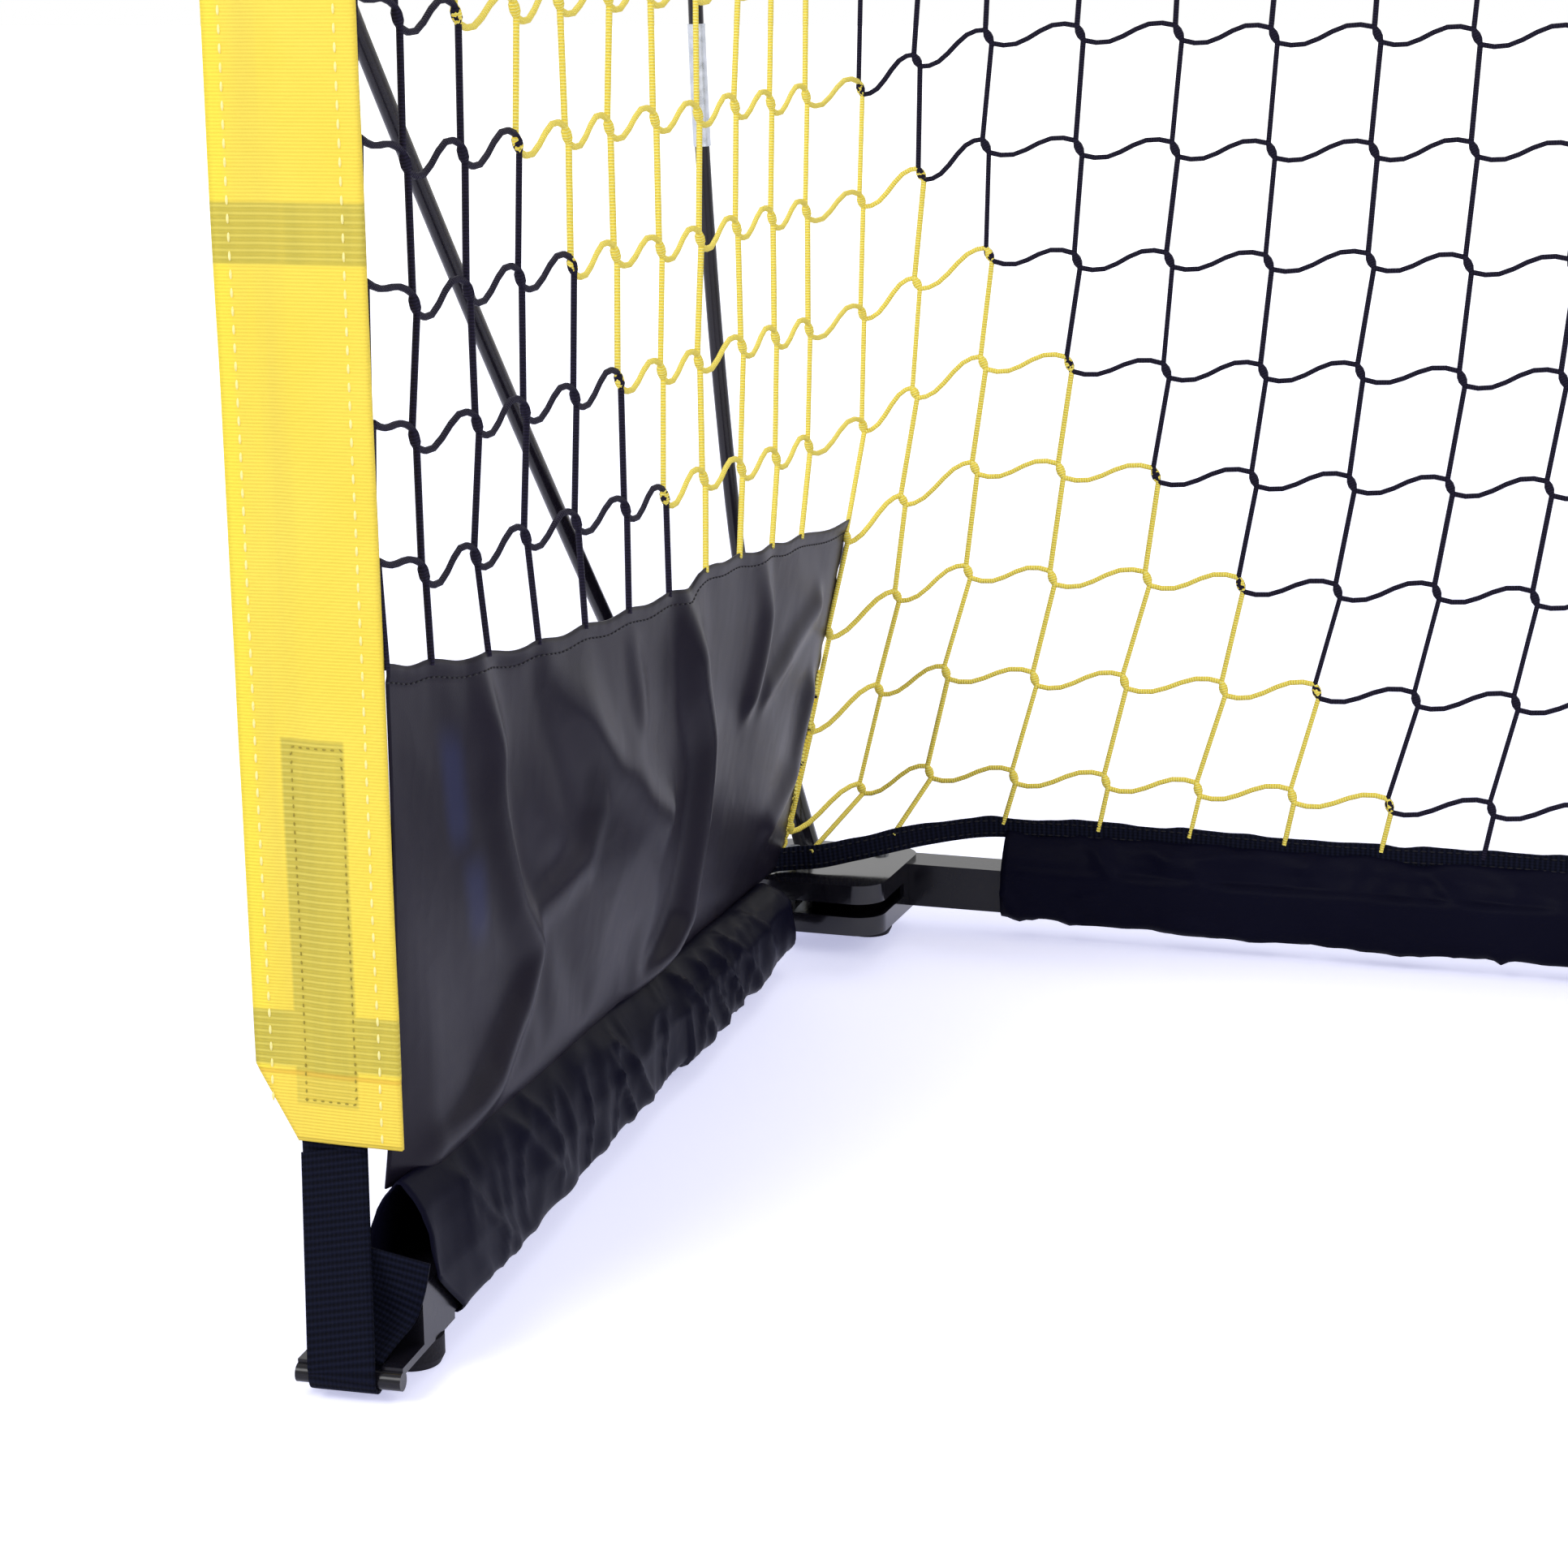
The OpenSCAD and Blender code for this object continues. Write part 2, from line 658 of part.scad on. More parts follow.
// Section of a sleeve on the base tube: it hugs the tube and rises to a ridge
function sleeve_section(half, low, ridge) =
  let (
    shoulder = tube_z + tube_w,
    rise = ridge - shoulder
  )
  [
    [-half + 1, low], [half - 1, low], [half, low + 2], [half, (low + shoulder) / 2],
    [half, shoulder], [half * 0.8, shoulder + rise * 0.4], [half * 0.45, shoulder + rise * 0.8],
    [1.8, ridge], [-1.8, ridge], [-half * 0.45, shoulder + rise * 0.8],
    [-half * 0.8, shoulder + rise * 0.4], [-half, shoulder], [-half, (low + shoulder) / 2],
    [-half, low + 2]
  ];

// Slack of the sleeve cloth: the ridge wanders a little along the sleeve
function slack(t) = 0.8 * (sin(t * 1500) + sin(t * 2340 + 40)) - 1.6;

module sleeve(from, to, ridge_from, ridge_to, stations) {
  rings = [for (k = [0, 1]) [for (i = [0:stations - 1])
    let (
      t = i / (stations - 1),
      y = from + (to - from) * t,
      ridge = ridge_from + (ridge_to - ridge_from) * t + slack(t),
      section = sleeve_section(sleeve_half - k * cloth_t, tube_z - 1.6 + k * cloth_t, ridge - 2 * k * cloth_t)
    )
    [for (p = section) [p[0], -y, p[1]]]]];
  hollow_loft(rings[0], rings[1]);
}

module leg_sleeve(side) {
  at_side(side) leg_frame() color(cloth_black)
    sleeve(leg_sleeve_rear, leg_sleeve_front, leg_ridge_rear, leg_ridge_front, 16);
}

module rear_sleeve(side) {
  at_side(side) color(cloth_black) translate([0, rear_y, 0]) rotate([0, 0, -90])
    sleeve(rear_sleeve_in, rear_sleeve_out, rear_ridge, rear_ridge, 18);
}

// Main folds of a skirt: two deep vertical folds that fade to its hems
function skirt_fold(s, t) =
  let (body = sin(t * 180))
  body * (7 * sin(s * 900 + 30) + 4 * sin(s * 1980 - 60 * t)) - 9 * body;

skirt_cols = 30;
skirt_rows = 8;

module skirt(side) {
  front_low = [net_front_x, net_front_y + cloth_t, skirt_front_z];
  front_top = front_low + [0, 0, skirt_h];
  grid = [for (i = [0:skirt_rows]) [for (j = [0:skirt_cols])
    let (
      s = j / skirt_cols,
      t = i / skirt_rows,
      low = front_low + (skirt_rear_low - front_low) * s,
      top = front_top + (skirt_rear_top - front_top) * s
    )
    low + (top - low) * t + [-skirt_fold(s, t), 0, 0]]];
  at_side(side) color(cloth_black) sheet(grid, [-1, 0, 0], cloth_t);
}

// A flat ribbon along a path in the YZ plane of its frame, w wide along X
module ribbon(path, w, t) {
  n = len(path);
  function tangent(i) = unit(path[min(n - 1, i + 1)] - path[max(0, i - 1)]);
  function rail(i, k) = let (d = unit(cross([1, 0, 0], tangent(i)))) path[i] + d * t * k;
  grid = [for (i = [0:n - 1]) [for (x = [-w / 2, w / 2]) [for (k = [-0.5, 0.5]) rail(i, k) + [x, 0, 0]]]];
  pts = [for (i = [0:n - 1]) each [grid[i][0][0], grid[i][1][0], grid[i][1][1], grid[i][0][1]]];
  body = [for (i = [0:n - 2], j = [0:3], h = [0, 1])
    let (a = 4 * i + j, b = 4 * i + (j + 1) % 4)
    h == 0 ? [a, b, b + 4] : [a, b + 4, a + 4]];
  last = 4 * (n - 1);
  ends = [[2, 1, 0], [3, 2, 0], [last, last + 1, last + 2], [last, last + 2, last + 3]];
  polyhedron(pts, concat(body, ends));
}

// The strap hangs from the band, loops under the hook's bar and lies back on the plug
module strap(side) {
  loop_r = bar_d / 2 + side_gap + strap_t / 2;
  bar = [-strap_in, -leg_l - hook_reach, bar_z];
  // The foot of the band's anchor strip in the leg's frame
  top_x = -mouth_x + band_w / 2 - pivot[0];
  top_y = front_y + band_t / 2 + strap_t / 2 - pivot[1];
  top = [
    top_x * cos(toe) + top_y * sin(toe),
    -top_x * sin(toe) + top_y * cos(toe),
    leg_ridge_front
  ];
  turns = [for (a = [0:20:160]) bar + [0, -loop_r * cos(a), -loop_r * sin(a)]];
  tail = [
    bar + [0, loop_r, 3],
    bar + [0, loop_r + 1.5, tube_z - bar_z + 1],
    [bar[0] + 2, -leg_l - 2 - strap_t, tube_z + 6],
    [bar[0] + 4, -leg_l - 2 - strap_t, tube_z + tube_w * 0.9]
  ];
  lead = [for (t = [0:0.125:1]) top + (turns[0] + [0, 0, 4] - top) * t];
  at_side(side) leg_frame() color(webbing_black) ribbon(concat(lead, turns, tail), strap_w, strap_t);
}

// ---------- Bands, nets and hems ----------

module post_band(side) {
  cut = 16;
  at_side(side) color(band_yellow) translate([0, front_y + band_t / 2, 0]) rotate([90, 0, 0])
    linear_extrude(band_t) polygon([
      [-mouth_x + cut, band_z], [-mouth_x + band_w, band_z], [-mouth_x + band_w, goal_h],
      [-mouth_x, goal_h], [-mouth_x, band_z + cut * 1.75]
    ]);
}

module crossbar_band() {
  color(band_yellow) box(
    [-mouth_x + band_w, front_y - band_t / 2, goal_h - band_w],
    [mouth_x - band_w, front_y + band_t / 2, goal_h]
  );
}

// Webbing sewn behind the band: the strap's anchor strip and two cross strips
anchor_l = 150;
cross_strips = [28, 316];
cross_strip_h = 21;

module post_webbing(side) {
  y0 = front_y + band_t / 2;
  mid = -mouth_x + band_w / 2;
  at_side(side) color(webbing_black) {
    box([mid - strap_w / 2, y0, skirt_front_z], [mid + strap_w / 2, y0 + strap_t, band_z + anchor_l]);
    for (z = cross_strips) box(
      [-mouth_x + 1, y0, band_z + z],
      [mid + band_w / 2 - cloth_t - 1, y0 + strap_t, band_z + z + cross_strip_h]
    );
  }
}

// A flat net in the XY plane inside an outline, with whole meshes cut out
module net_panel(outline, cells, cell) {
  linear_extrude(cord_w, center = true) difference() {
    polygon(outline);
    intersection() {
      drawn_in(outline);
      for (i = [0:cells[0] - 1], j = [0:cells[1] - 1])
        translate([i * cell[0] + cord_w / 2, j * cell[1] + cord_w / 2])
          square([cell[0] - cord_w, cell[1] - cord_w]);
    }
  }
}

// The outline drawn in by one cord on every side, so that a border cord stays
module drawn_in(outline) {
  intersection_for(m = [[cord_w, 0], [-cord_w, 0], [0, cord_w], [0, -cord_w]])
    translate(m) polygon(outline);
}

side_cols = round((rear_y - front_y) / mesh);
side_rows = ceil((net_top - skirt_rear_top[2]) / mesh) + 1;
// The wide nets show every second cord, so that each has at most 300 gaps
wide_step = 2 * mesh;

module side_net(side) {
  front = [net_front_x, net_front_y + side_gap];
  back = [net_x, rear_y - 2];
  run = norm(back - front);
  turn = atan2(back[1] - front[1], back[0] - front[0]);
  low_front = skirt_front_z + skirt_h + side_gap;
  low_back = skirt_rear_top[2] + side_gap;
  outline = [[0, low_front], [run, low_back], [run, net_top], [0, net_top]];
  lift = low_back - mesh;
  at_side(side) color(net_black) translate([front[0], front[1], 0]) rotate([0, 0, turn])
    rotate([90, 0, 0]) translate([0, lift, 0])
      net_panel(
        [for (p = outline) [p[0], p[1] - lift]], [side_cols, side_rows], [run / side_cols, mesh]
      );
}

module back_net() {
  w = -2 * net_x;
  h = net_top - hem_z - hem_h;
  cols = round(w / wide_step);
  rows = round(h / wide_step);
  color(net_black) translate([net_x, rear_y, hem_z + hem_h]) rotate([90, 0, 0])
    net_panel([[0, 0], [w, 0], [w, h], [0, h]], [cols, rows], [w / cols, h / rows]);
}

// The top net ends one cord inside the side nets, which lie closer in front
module top_net() {
  w = -2 * net_x - 2 * cord_w;
  d = rear_y - cord_w - front_y - band_t / 2;
  narrow = net_front_x - net_x;
  cols = round(w / wide_step);
  rows = round(d / wide_step);
  color(net_black) translate([-w / 2, front_y + band_t / 2, net_top - cord_w / 2])
    net_panel([[narrow, 0], [w - narrow, 0], [w, d], [0, d]], [cols, rows], [w / cols, d / rows]);
}

// Webbing along the back net's foot; its ends drop forward to the housings
module hem_strap() {
  end = [pivot[0] + 14, pivot[1] + 6, housing_top + 2];
  path = [
    end, end + [16, 9, 1.5], [housing_x + housing_w + 12, rear_y - 4, hem_z - 3],
    [-rear_sleeve_out + 10, rear_y, hem_z]
  ];
  half = concat(path, [[-rear_sleeve_out / 2, rear_y, hem_z], [0, rear_y, hem_z]]);
  mirrored = [for (i = [len(half) - 2:-1:0]) [-half[i][0], half[i][1], half[i][2]]];
  whole = concat(half, mirrored);
  color(webbing_black) sheet([for (z = [0, hem_h]) [for (p = whole) p + [0, 0, z]]], [0, 1, 0], strap_t);
}

module top_hem_strap() {
  reach = -rear_pole_top[0] - socket_d / 2 - 0.5;
  color(webbing_black) box(
    [-reach, rear_y + cord_w / 2, net_top - strap_w / 2],
    [reach, rear_y + cord_w / 2 + strap_t, net_top + strap_w / 2]
  );
}

// ---------- Nodes ----------

rear_tube("left");  // rear_tube_left
rear_tube("right");  // rear_tube_right
rear_coupler();
snap_button();
button_spring();
corner_housing("left");  // corner_housing_left
corner_housing("right");  // corner_housing_right
pivot_bolts();
pivot_nuts();
pivot_washers();
tube_rivets();
rear_feet();
pole_socket(front_bow, front_socket_at);  // front_socket_left
at_side("right") pole_socket(front_bow, front_socket_at);  // front_socket_right
pole_socket(rear_bow, rear_socket_at);  // rear_socket_left
at_side("right") pole_socket(rear_bow, rear_socket_at);  // rear_socket_right
pole_stretch(front_bow, 0, front_len / 2);  // front_pole_lower_left
pole_stretch(front_bow, front_len / 2, front_len);  // front_pole_upper_left
at_side("right") pole_stretch(front_bow, 0, front_len / 2);  // front_pole_lower_right
at_side("right") pole_stretch(front_bow, front_len / 2, front_len);  // front_pole_upper_right
pole_stretch(rear_bow, 0, rear_len / 3);  // rear_pole_lower_left
pole_stretch(rear_bow, rear_len / 3, rear_len * 2 / 3);  // rear_pole_middle_left
pole_stretch(rear_bow, rear_len * 2 / 3, rear_len);  // rear_pole_upper_left
at_side("right") pole_stretch(rear_bow, 0, rear_len / 3);  // rear_pole_lower_right
at_side("right") pole_stretch(rear_bow, rear_len / 3, rear_len * 2 / 3);  // rear_pole_middle_right
at_side("right") pole_stretch(rear_bow, rear_len * 2 / 3, rear_len);  // rear_pole_upper_right
pole_ferrules("left");  // pole_ferrules_left
pole_ferrules("right");  // pole_ferrules_right
pole_caps("left");  // pole_caps_left
pole_caps("right");  // pole_caps_right
post_band("left");  // post_band_left
post_band("right");  // post_band_right
crossbar_band();
post_webbing("left");  // post_webbing_left
post_webbing("right");  // post_webbing_right
side_net("left");  // side_net_left
side_net("right");  // side_net_right
back_net();
top_net();
skirt("left");  // skirt_left
skirt("right");  // skirt_right
rear_sleeve("left");  // rear_sleeve_left
rear_sleeve("right");  // rear_sleeve_right
hem_strap();
top_hem_strap();
leg_tube("left");  // leg_tube_left
leg_tang("left");  // leg_tang_left
leg_rivets("left");  // leg_rivets_left
leg_hook("left");  // leg_hook_left
leg_foot("left");  // leg_foot_left
leg_sleeve("left");  // leg_sleeve_left
strap("left");  // strap_left
leg_tube("right");  // leg_tube_right
leg_tang("right");  // leg_tang_right
leg_rivets("right");  // leg_rivets_right
leg_hook("right");  // leg_hook_right
leg_foot("right");  // leg_foot_right
leg_sleeve("right");  // leg_sleeve_right
strap("right");  // strap_right
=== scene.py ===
# %% [markdown]
# # A portable football goal, dressed
#
# The goal has a folding steel base, four glass-fibre bow poles and a sewn skin: yellow
# bands round the mouth, a two-tone net, black skirts in the lower corners and sleeves on
# the base tubes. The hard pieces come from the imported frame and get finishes. The soft
# pieces are rebuilt here as cloth, webbing, cord and thread, each where its solid lies.

# %% Load the frame
import json
import math

import bpy
import numpy as np
from mathutils import Matrix, Vector


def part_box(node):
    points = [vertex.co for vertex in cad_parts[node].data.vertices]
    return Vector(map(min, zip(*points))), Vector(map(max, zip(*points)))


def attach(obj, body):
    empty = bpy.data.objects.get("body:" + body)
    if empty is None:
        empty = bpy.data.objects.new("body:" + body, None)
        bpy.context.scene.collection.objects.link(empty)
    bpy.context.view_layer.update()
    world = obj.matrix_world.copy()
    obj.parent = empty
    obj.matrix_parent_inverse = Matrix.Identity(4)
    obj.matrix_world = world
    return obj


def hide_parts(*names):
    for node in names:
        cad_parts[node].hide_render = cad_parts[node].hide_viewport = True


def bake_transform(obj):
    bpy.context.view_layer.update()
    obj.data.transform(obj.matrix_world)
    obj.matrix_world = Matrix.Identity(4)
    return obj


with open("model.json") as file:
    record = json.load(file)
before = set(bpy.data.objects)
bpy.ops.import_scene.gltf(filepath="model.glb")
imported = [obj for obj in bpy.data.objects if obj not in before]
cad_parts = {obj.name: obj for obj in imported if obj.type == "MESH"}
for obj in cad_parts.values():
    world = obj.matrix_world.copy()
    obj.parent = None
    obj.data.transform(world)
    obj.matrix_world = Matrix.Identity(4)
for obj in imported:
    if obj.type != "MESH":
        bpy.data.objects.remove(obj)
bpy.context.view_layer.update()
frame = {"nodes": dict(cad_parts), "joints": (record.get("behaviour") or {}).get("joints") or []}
MM = 0.001

# %% [markdown]
# ## Reading places off the frame
#
# Every size below starts from a solid of the frame, so a change there moves the cloth
# too. `corner` gives a node's lowest and highest point. The left side is worked out and
# the right side is its mirror image, so most functions build the left piece only.


# %% Places
def corner(node):
    """A node's lowest and highest point."""
    low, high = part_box(node)
    return np.array(low), np.array(high)


band_low, band_high = corner("post_band_left")
BAND_Y = (band_low[1] + band_high[1]) / 2
BAND_BACK = band_high[1]
MOUTH_X, BAND_INNER = band_low[0], band_high[0]
BAND_W = BAND_INNER - MOUTH_X
BAND_Z, TOP_Z = band_low[2], band_high[2]
tube_low, tube_high = corner("rear_tube_left")
REAR_Y = (tube_low[1] + tube_high[1]) / 2
TUBE_LOW, TUBE_TOP = tube_low[2], tube_high[2]
TUBE_HALF = (TUBE_TOP - TUBE_LOW) / 2
NET_X, NET_TOP = corner("back_net")[0][0], corner("back_net")[1][2]
pivot = np.array(next(j for j in frame["joints"] if j["name"] == "left_leg_fold")["pos_m"])
foot_low, foot_high = corner("leg_foot_left")
foot_mid = (foot_low + foot_high) / 2
TOE = math.atan2(foot_mid[0] - pivot[0], pivot[1] - foot_mid[1])
FOOT_TO_LEG_END = 14 * MM
LEG_L = math.hypot(foot_mid[0] - pivot[0], foot_mid[1] - pivot[1]) + FOOT_TO_LEG_END
print("band back", BAND_BACK, "rear tube", REAR_Y, "toe-in", math.degrees(TOE), "leg", LEG_L)


def leg_point(x, along, z):
    """A point of the left leg: x to its inner side, along from the pivot to the front."""
    return np.array([
        pivot[0] + x * math.cos(TOE) + along * math.sin(TOE),
        pivot[1] + x * math.sin(TOE) - along * math.cos(TOE),
        z,
    ])


# %% [markdown]
# ## Small helpers
#
# Colours are written as they look on a screen and turned to linear light by one
# function. `add_node` adds any node with its settings and links, for shaders and
# geometry alike. A material is its Principled shader plus what feeds it. `run` measures
# along a path.


# %% Helpers for objects, colours and nodes
SIDES = ("left", "right")


def new_object(name, data):
    """A new object in the scene that shows this mesh, light or camera."""
    made = bpy.data.objects.new(name, data)
    bpy.context.scene.collection.objects.link(made)
    return made


def set_attribute(mesh, name, kind, values):
    """Writes a value for each point of a mesh, for a geometry tree to read."""
    field = "vector" if kind == "FLOAT_VECTOR" else "value"
    mesh.attributes.new(name, kind, "POINT").data.foreach_set(field, np.array(values, np.float32).ravel())


def run(points):
    """Length along a path from its start to each of its points."""
    return np.concatenate([[0], np.cumsum(np.linalg.norm(np.diff(points, axis=0), axis=1))])


def linear(code):
    """The linear light of a colour that is written as it looks on a screen."""
    channels = [int(code[i:i + 2], 16) / 255 for i in (1, 3, 5)]
    return tuple(c / 12.92 if c <= 0.04045 else ((c + 0.055) / 1.055) ** 2.4 for c in channels) + (1.0,)


def add_node(tree, kind, inputs=None, **settings):
    """Any node, with its settings, and with a link or a value on each named input."""
    node = tree.nodes.new(kind)
    for key, value in settings.items():
        setattr(node, key, value)
    for key, value in (inputs or {}).items():
        if isinstance(value, bpy.types.NodeSocket):
            tree.links.new(value, node.inputs[key])
        else:
            node.inputs[key].default_value = value
    return node


def new_material(name, **shader_values):
    """A material, its tree and its shader, with these values on the shader's own sockets."""
    material = bpy.data.materials.new(name)
    material.use_nodes = True
    tree = material.node_tree
    shader = tree.nodes["Principled BSDF"]
    for key, value in shader_values.items():
        shader.inputs[key.replace("_", " ")].default_value = value
    return material, tree, shader


def wave(tree, value, period, low=0.0, high=1.0):
    """A smooth wave from low to high along a length in metres."""
    turned = add_node(tree, "ShaderNodeMath", {0: value, 1: 2 * math.pi / period}, operation="MULTIPLY")
    sine = add_node(tree, "ShaderNodeMath", {0: turned.outputs[0]}, operation="SINE")
    ranged = add_node(tree, "ShaderNodeMapRange", {
        "Value": sine.outputs[0], "From Min": -1.0, "From Max": 1.0, "To Min": low, "To Max": high})
    return ranged.outputs["Result"]


def bump(tree, shader, height, distance):
    """Lets a height from 0 to 1 stand up by a distance."""
    relief = add_node(tree, "ShaderNodeBump", {"Height": height, "Distance": distance, "Strength": 1.0})
    tree.links.new(relief.outputs["Normal"], shader.inputs["Normal"])


print("scale:", MM, "m to the millimetre, white is", linear("#ffffff"))


# %% [markdown]
# ## Hard finishes
#
# The base tubes and hook plates are powder-coated steel: a thick gloss coat with a very
# slight orange peel. It reflects the white room at a flat angle, which lightens the top
# faces. The housings and the pole sockets have a smoother and glossier enamel. The poles
# are pultruded glass fibre, smooth and nearly black, with faint streaks along their
# height. Each finish drifts between two tones with a grain of noise.


# %% Hard finishes
def grained(name, dark, light, scale, detail, depth=0, stretch=None, **shader_values):
    """A material that drifts from dark to light with a grain, which stands up by depth."""
    material, tree, shader = new_material(name, **shader_values)
    place = add_node(tree, "ShaderNodeTexCoord").outputs["Object"]
    if stretch:
        place = add_node(tree, "ShaderNodeMapping", {"Vector": place, "Scale": stretch}).outputs[0]
    grain = add_node(tree, "ShaderNodeTexNoise", {"Vector": place, "Scale": scale, "Detail": detail})
    tone = add_node(tree, "ShaderNodeMix", {
        0: grain.outputs["Fac"], 6: linear(dark), 7: linear(light)}, data_type="RGBA")
    tree.links.new(tone.outputs[2], shader.inputs["Base Color"])
    if depth:
        bump(tree, shader, grain.outputs["Fac"], depth)
    return material, tree, shader, grain.outputs["Fac"]


def coated_steel(name, colour, roughness, gloss, peel):
    """A dark coat on steel, with dust in broad patches and an orange peel."""
    material, tree, shader, _ = grained(
        name, colour, "#1b1a22", 38.0, 4.0, Roughness=roughness, Specular_IOR_Level=gloss)
    place = add_node(tree, "ShaderNodeTexCoord").outputs["Object"]
    peel_noise = add_node(tree, "ShaderNodeTexNoise", {"Vector": place, "Scale": 420.0, "Detail": 2.0})
    bump(tree, shader, peel_noise.outputs["Fac"], peel)
    return material


def plated_zinc():
    """Bright zinc: a metal with a cloudy, slightly spangled surface."""
    material, tree, shader, cloud = grained(
        "bright_zinc_plate", "#8f949c", "#dfe3ea", 260.0, 5.0, 0.05 * MM, Metallic=1.0)
    rough = add_node(tree, "ShaderNodeMapRange", {
        "Value": cloud, "From Min": 0.3, "From Max": 0.7, "To Min": 0.22, "To Max": 0.42})
    tree.links.new(rough.outputs["Result"], shader.inputs["Roughness"])
    return material


TUBE_PAINT = coated_steel("gloss_powder_coat", "#08080f", 0.2, 0.25, 0.03 * MM)
HOUSING_PAINT = coated_steel("gloss_sheet_enamel", "#07070d", 0.12, 0.5, 0.02 * MM)
ZINC = plated_zinc()
RUBBER = grained("moulded_rubber", "#141318", "#2a2930", 900.0, 3.0, 0.12 * MM,
                 Roughness=0.62, Specular_IOR_Level=0.12)[0]
POLE_GLASS = grained("pulled_glass_fibre", "#0d0b12", "#201d29", 1.0, 3.0, 0.03 * MM,
                     (900.0, 900.0, 14.0), Roughness=0.24, Specular_IOR_Level=0.3)[0]

NODE_FINISHES = {
    "rear_tube": TUBE_PAINT, "leg_tube": TUBE_PAINT, "leg_hook": TUBE_PAINT,
    "corner_housing": HOUSING_PAINT, "front_socket": HOUSING_PAINT, "rear_socket": HOUSING_PAINT,
    "rear_coupler": ZINC, "snap_button": ZINC, "button_spring": ZINC, "pivot": ZINC,
    "tube_rivets": ZINC, "leg_tang": ZINC, "leg_rivets": ZINC, "pole_ferrules": ZINC,
    "rear_feet": RUBBER, "leg_foot": RUBBER, "pole_caps": RUBBER,
    "front_pole": POLE_GLASS, "rear_pole": POLE_GLASS,
}
finished = []
for node_name, node_object in frame["nodes"].items():
    for start, finish in NODE_FINISHES.items():
        if node_name.startswith(start):
            node_object.data.materials.clear()
            node_object.data.materials.append(finish)
            finished.append(node_name)
print("hard finishes on", len(finished), "nodes")

# %% [markdown]
# ## Cloth finishes
#
# The bands are a ribbed polyester tape: fine ribs across it, thin enough that the black
# webbing sewn behind shows through as olive patches. The tape's own UV map gives metres
# across and along it, so the ribs and the patches follow its folds. The skirt is thin
# lining cloth with a satin gleam, the sleeves are a crisper nylon, and the webbing has
# thick ribs crossed by its warp threads.

# %% Yellow tape
BAND_SHEER_STRIPS = [(28 * MM, 49 * MM), (316 * MM, 337 * MM)]
ANCHOR_HALF = 12.5 * MM
ANCHOR_TOP = 150 * MM
HEM_TOP = 26 * MM
RIB_PITCH = 1.25 * MM


def inside(tree, value, low, high, soft):
    """1 where value lies between low and high, with soft ends."""
    up = add_node(tree, "ShaderNodeMapRange", {
        "Value": value, "From Min": low - soft, "From Max": low + soft}, interpolation_type="SMOOTHSTEP")
    down = add_node(tree, "ShaderNodeMapRange", {
        "Value": value, "From Min": high - soft, "From Max": high + soft, "To Min": 1.0, "To Max": 0.0},
        interpolation_type="SMOOTHSTEP")
    both = add_node(tree, "ShaderNodeMath", {0: up.outputs[0], 1: down.outputs[0]}, operation="MULTIPLY")
    return both.outputs[0]


def combine(tree, a, b, operation):
    """Two values or sockets put together by a sum, product, difference or maximum."""
    return add_node(tree, "ShaderNodeMath", {0: a, 1: b}, operation=operation).outputs[0]


def cloth_place(tree):
    """The cloth's UV map, and its metres across and along."""
    uv = add_node(tree, "ShaderNodeUVMap", uv_map="cloth").outputs[0]
    split = add_node(tree, "ShaderNodeSeparateXYZ", {0: uv})
    return uv, split.outputs[0], split.outputs[1]


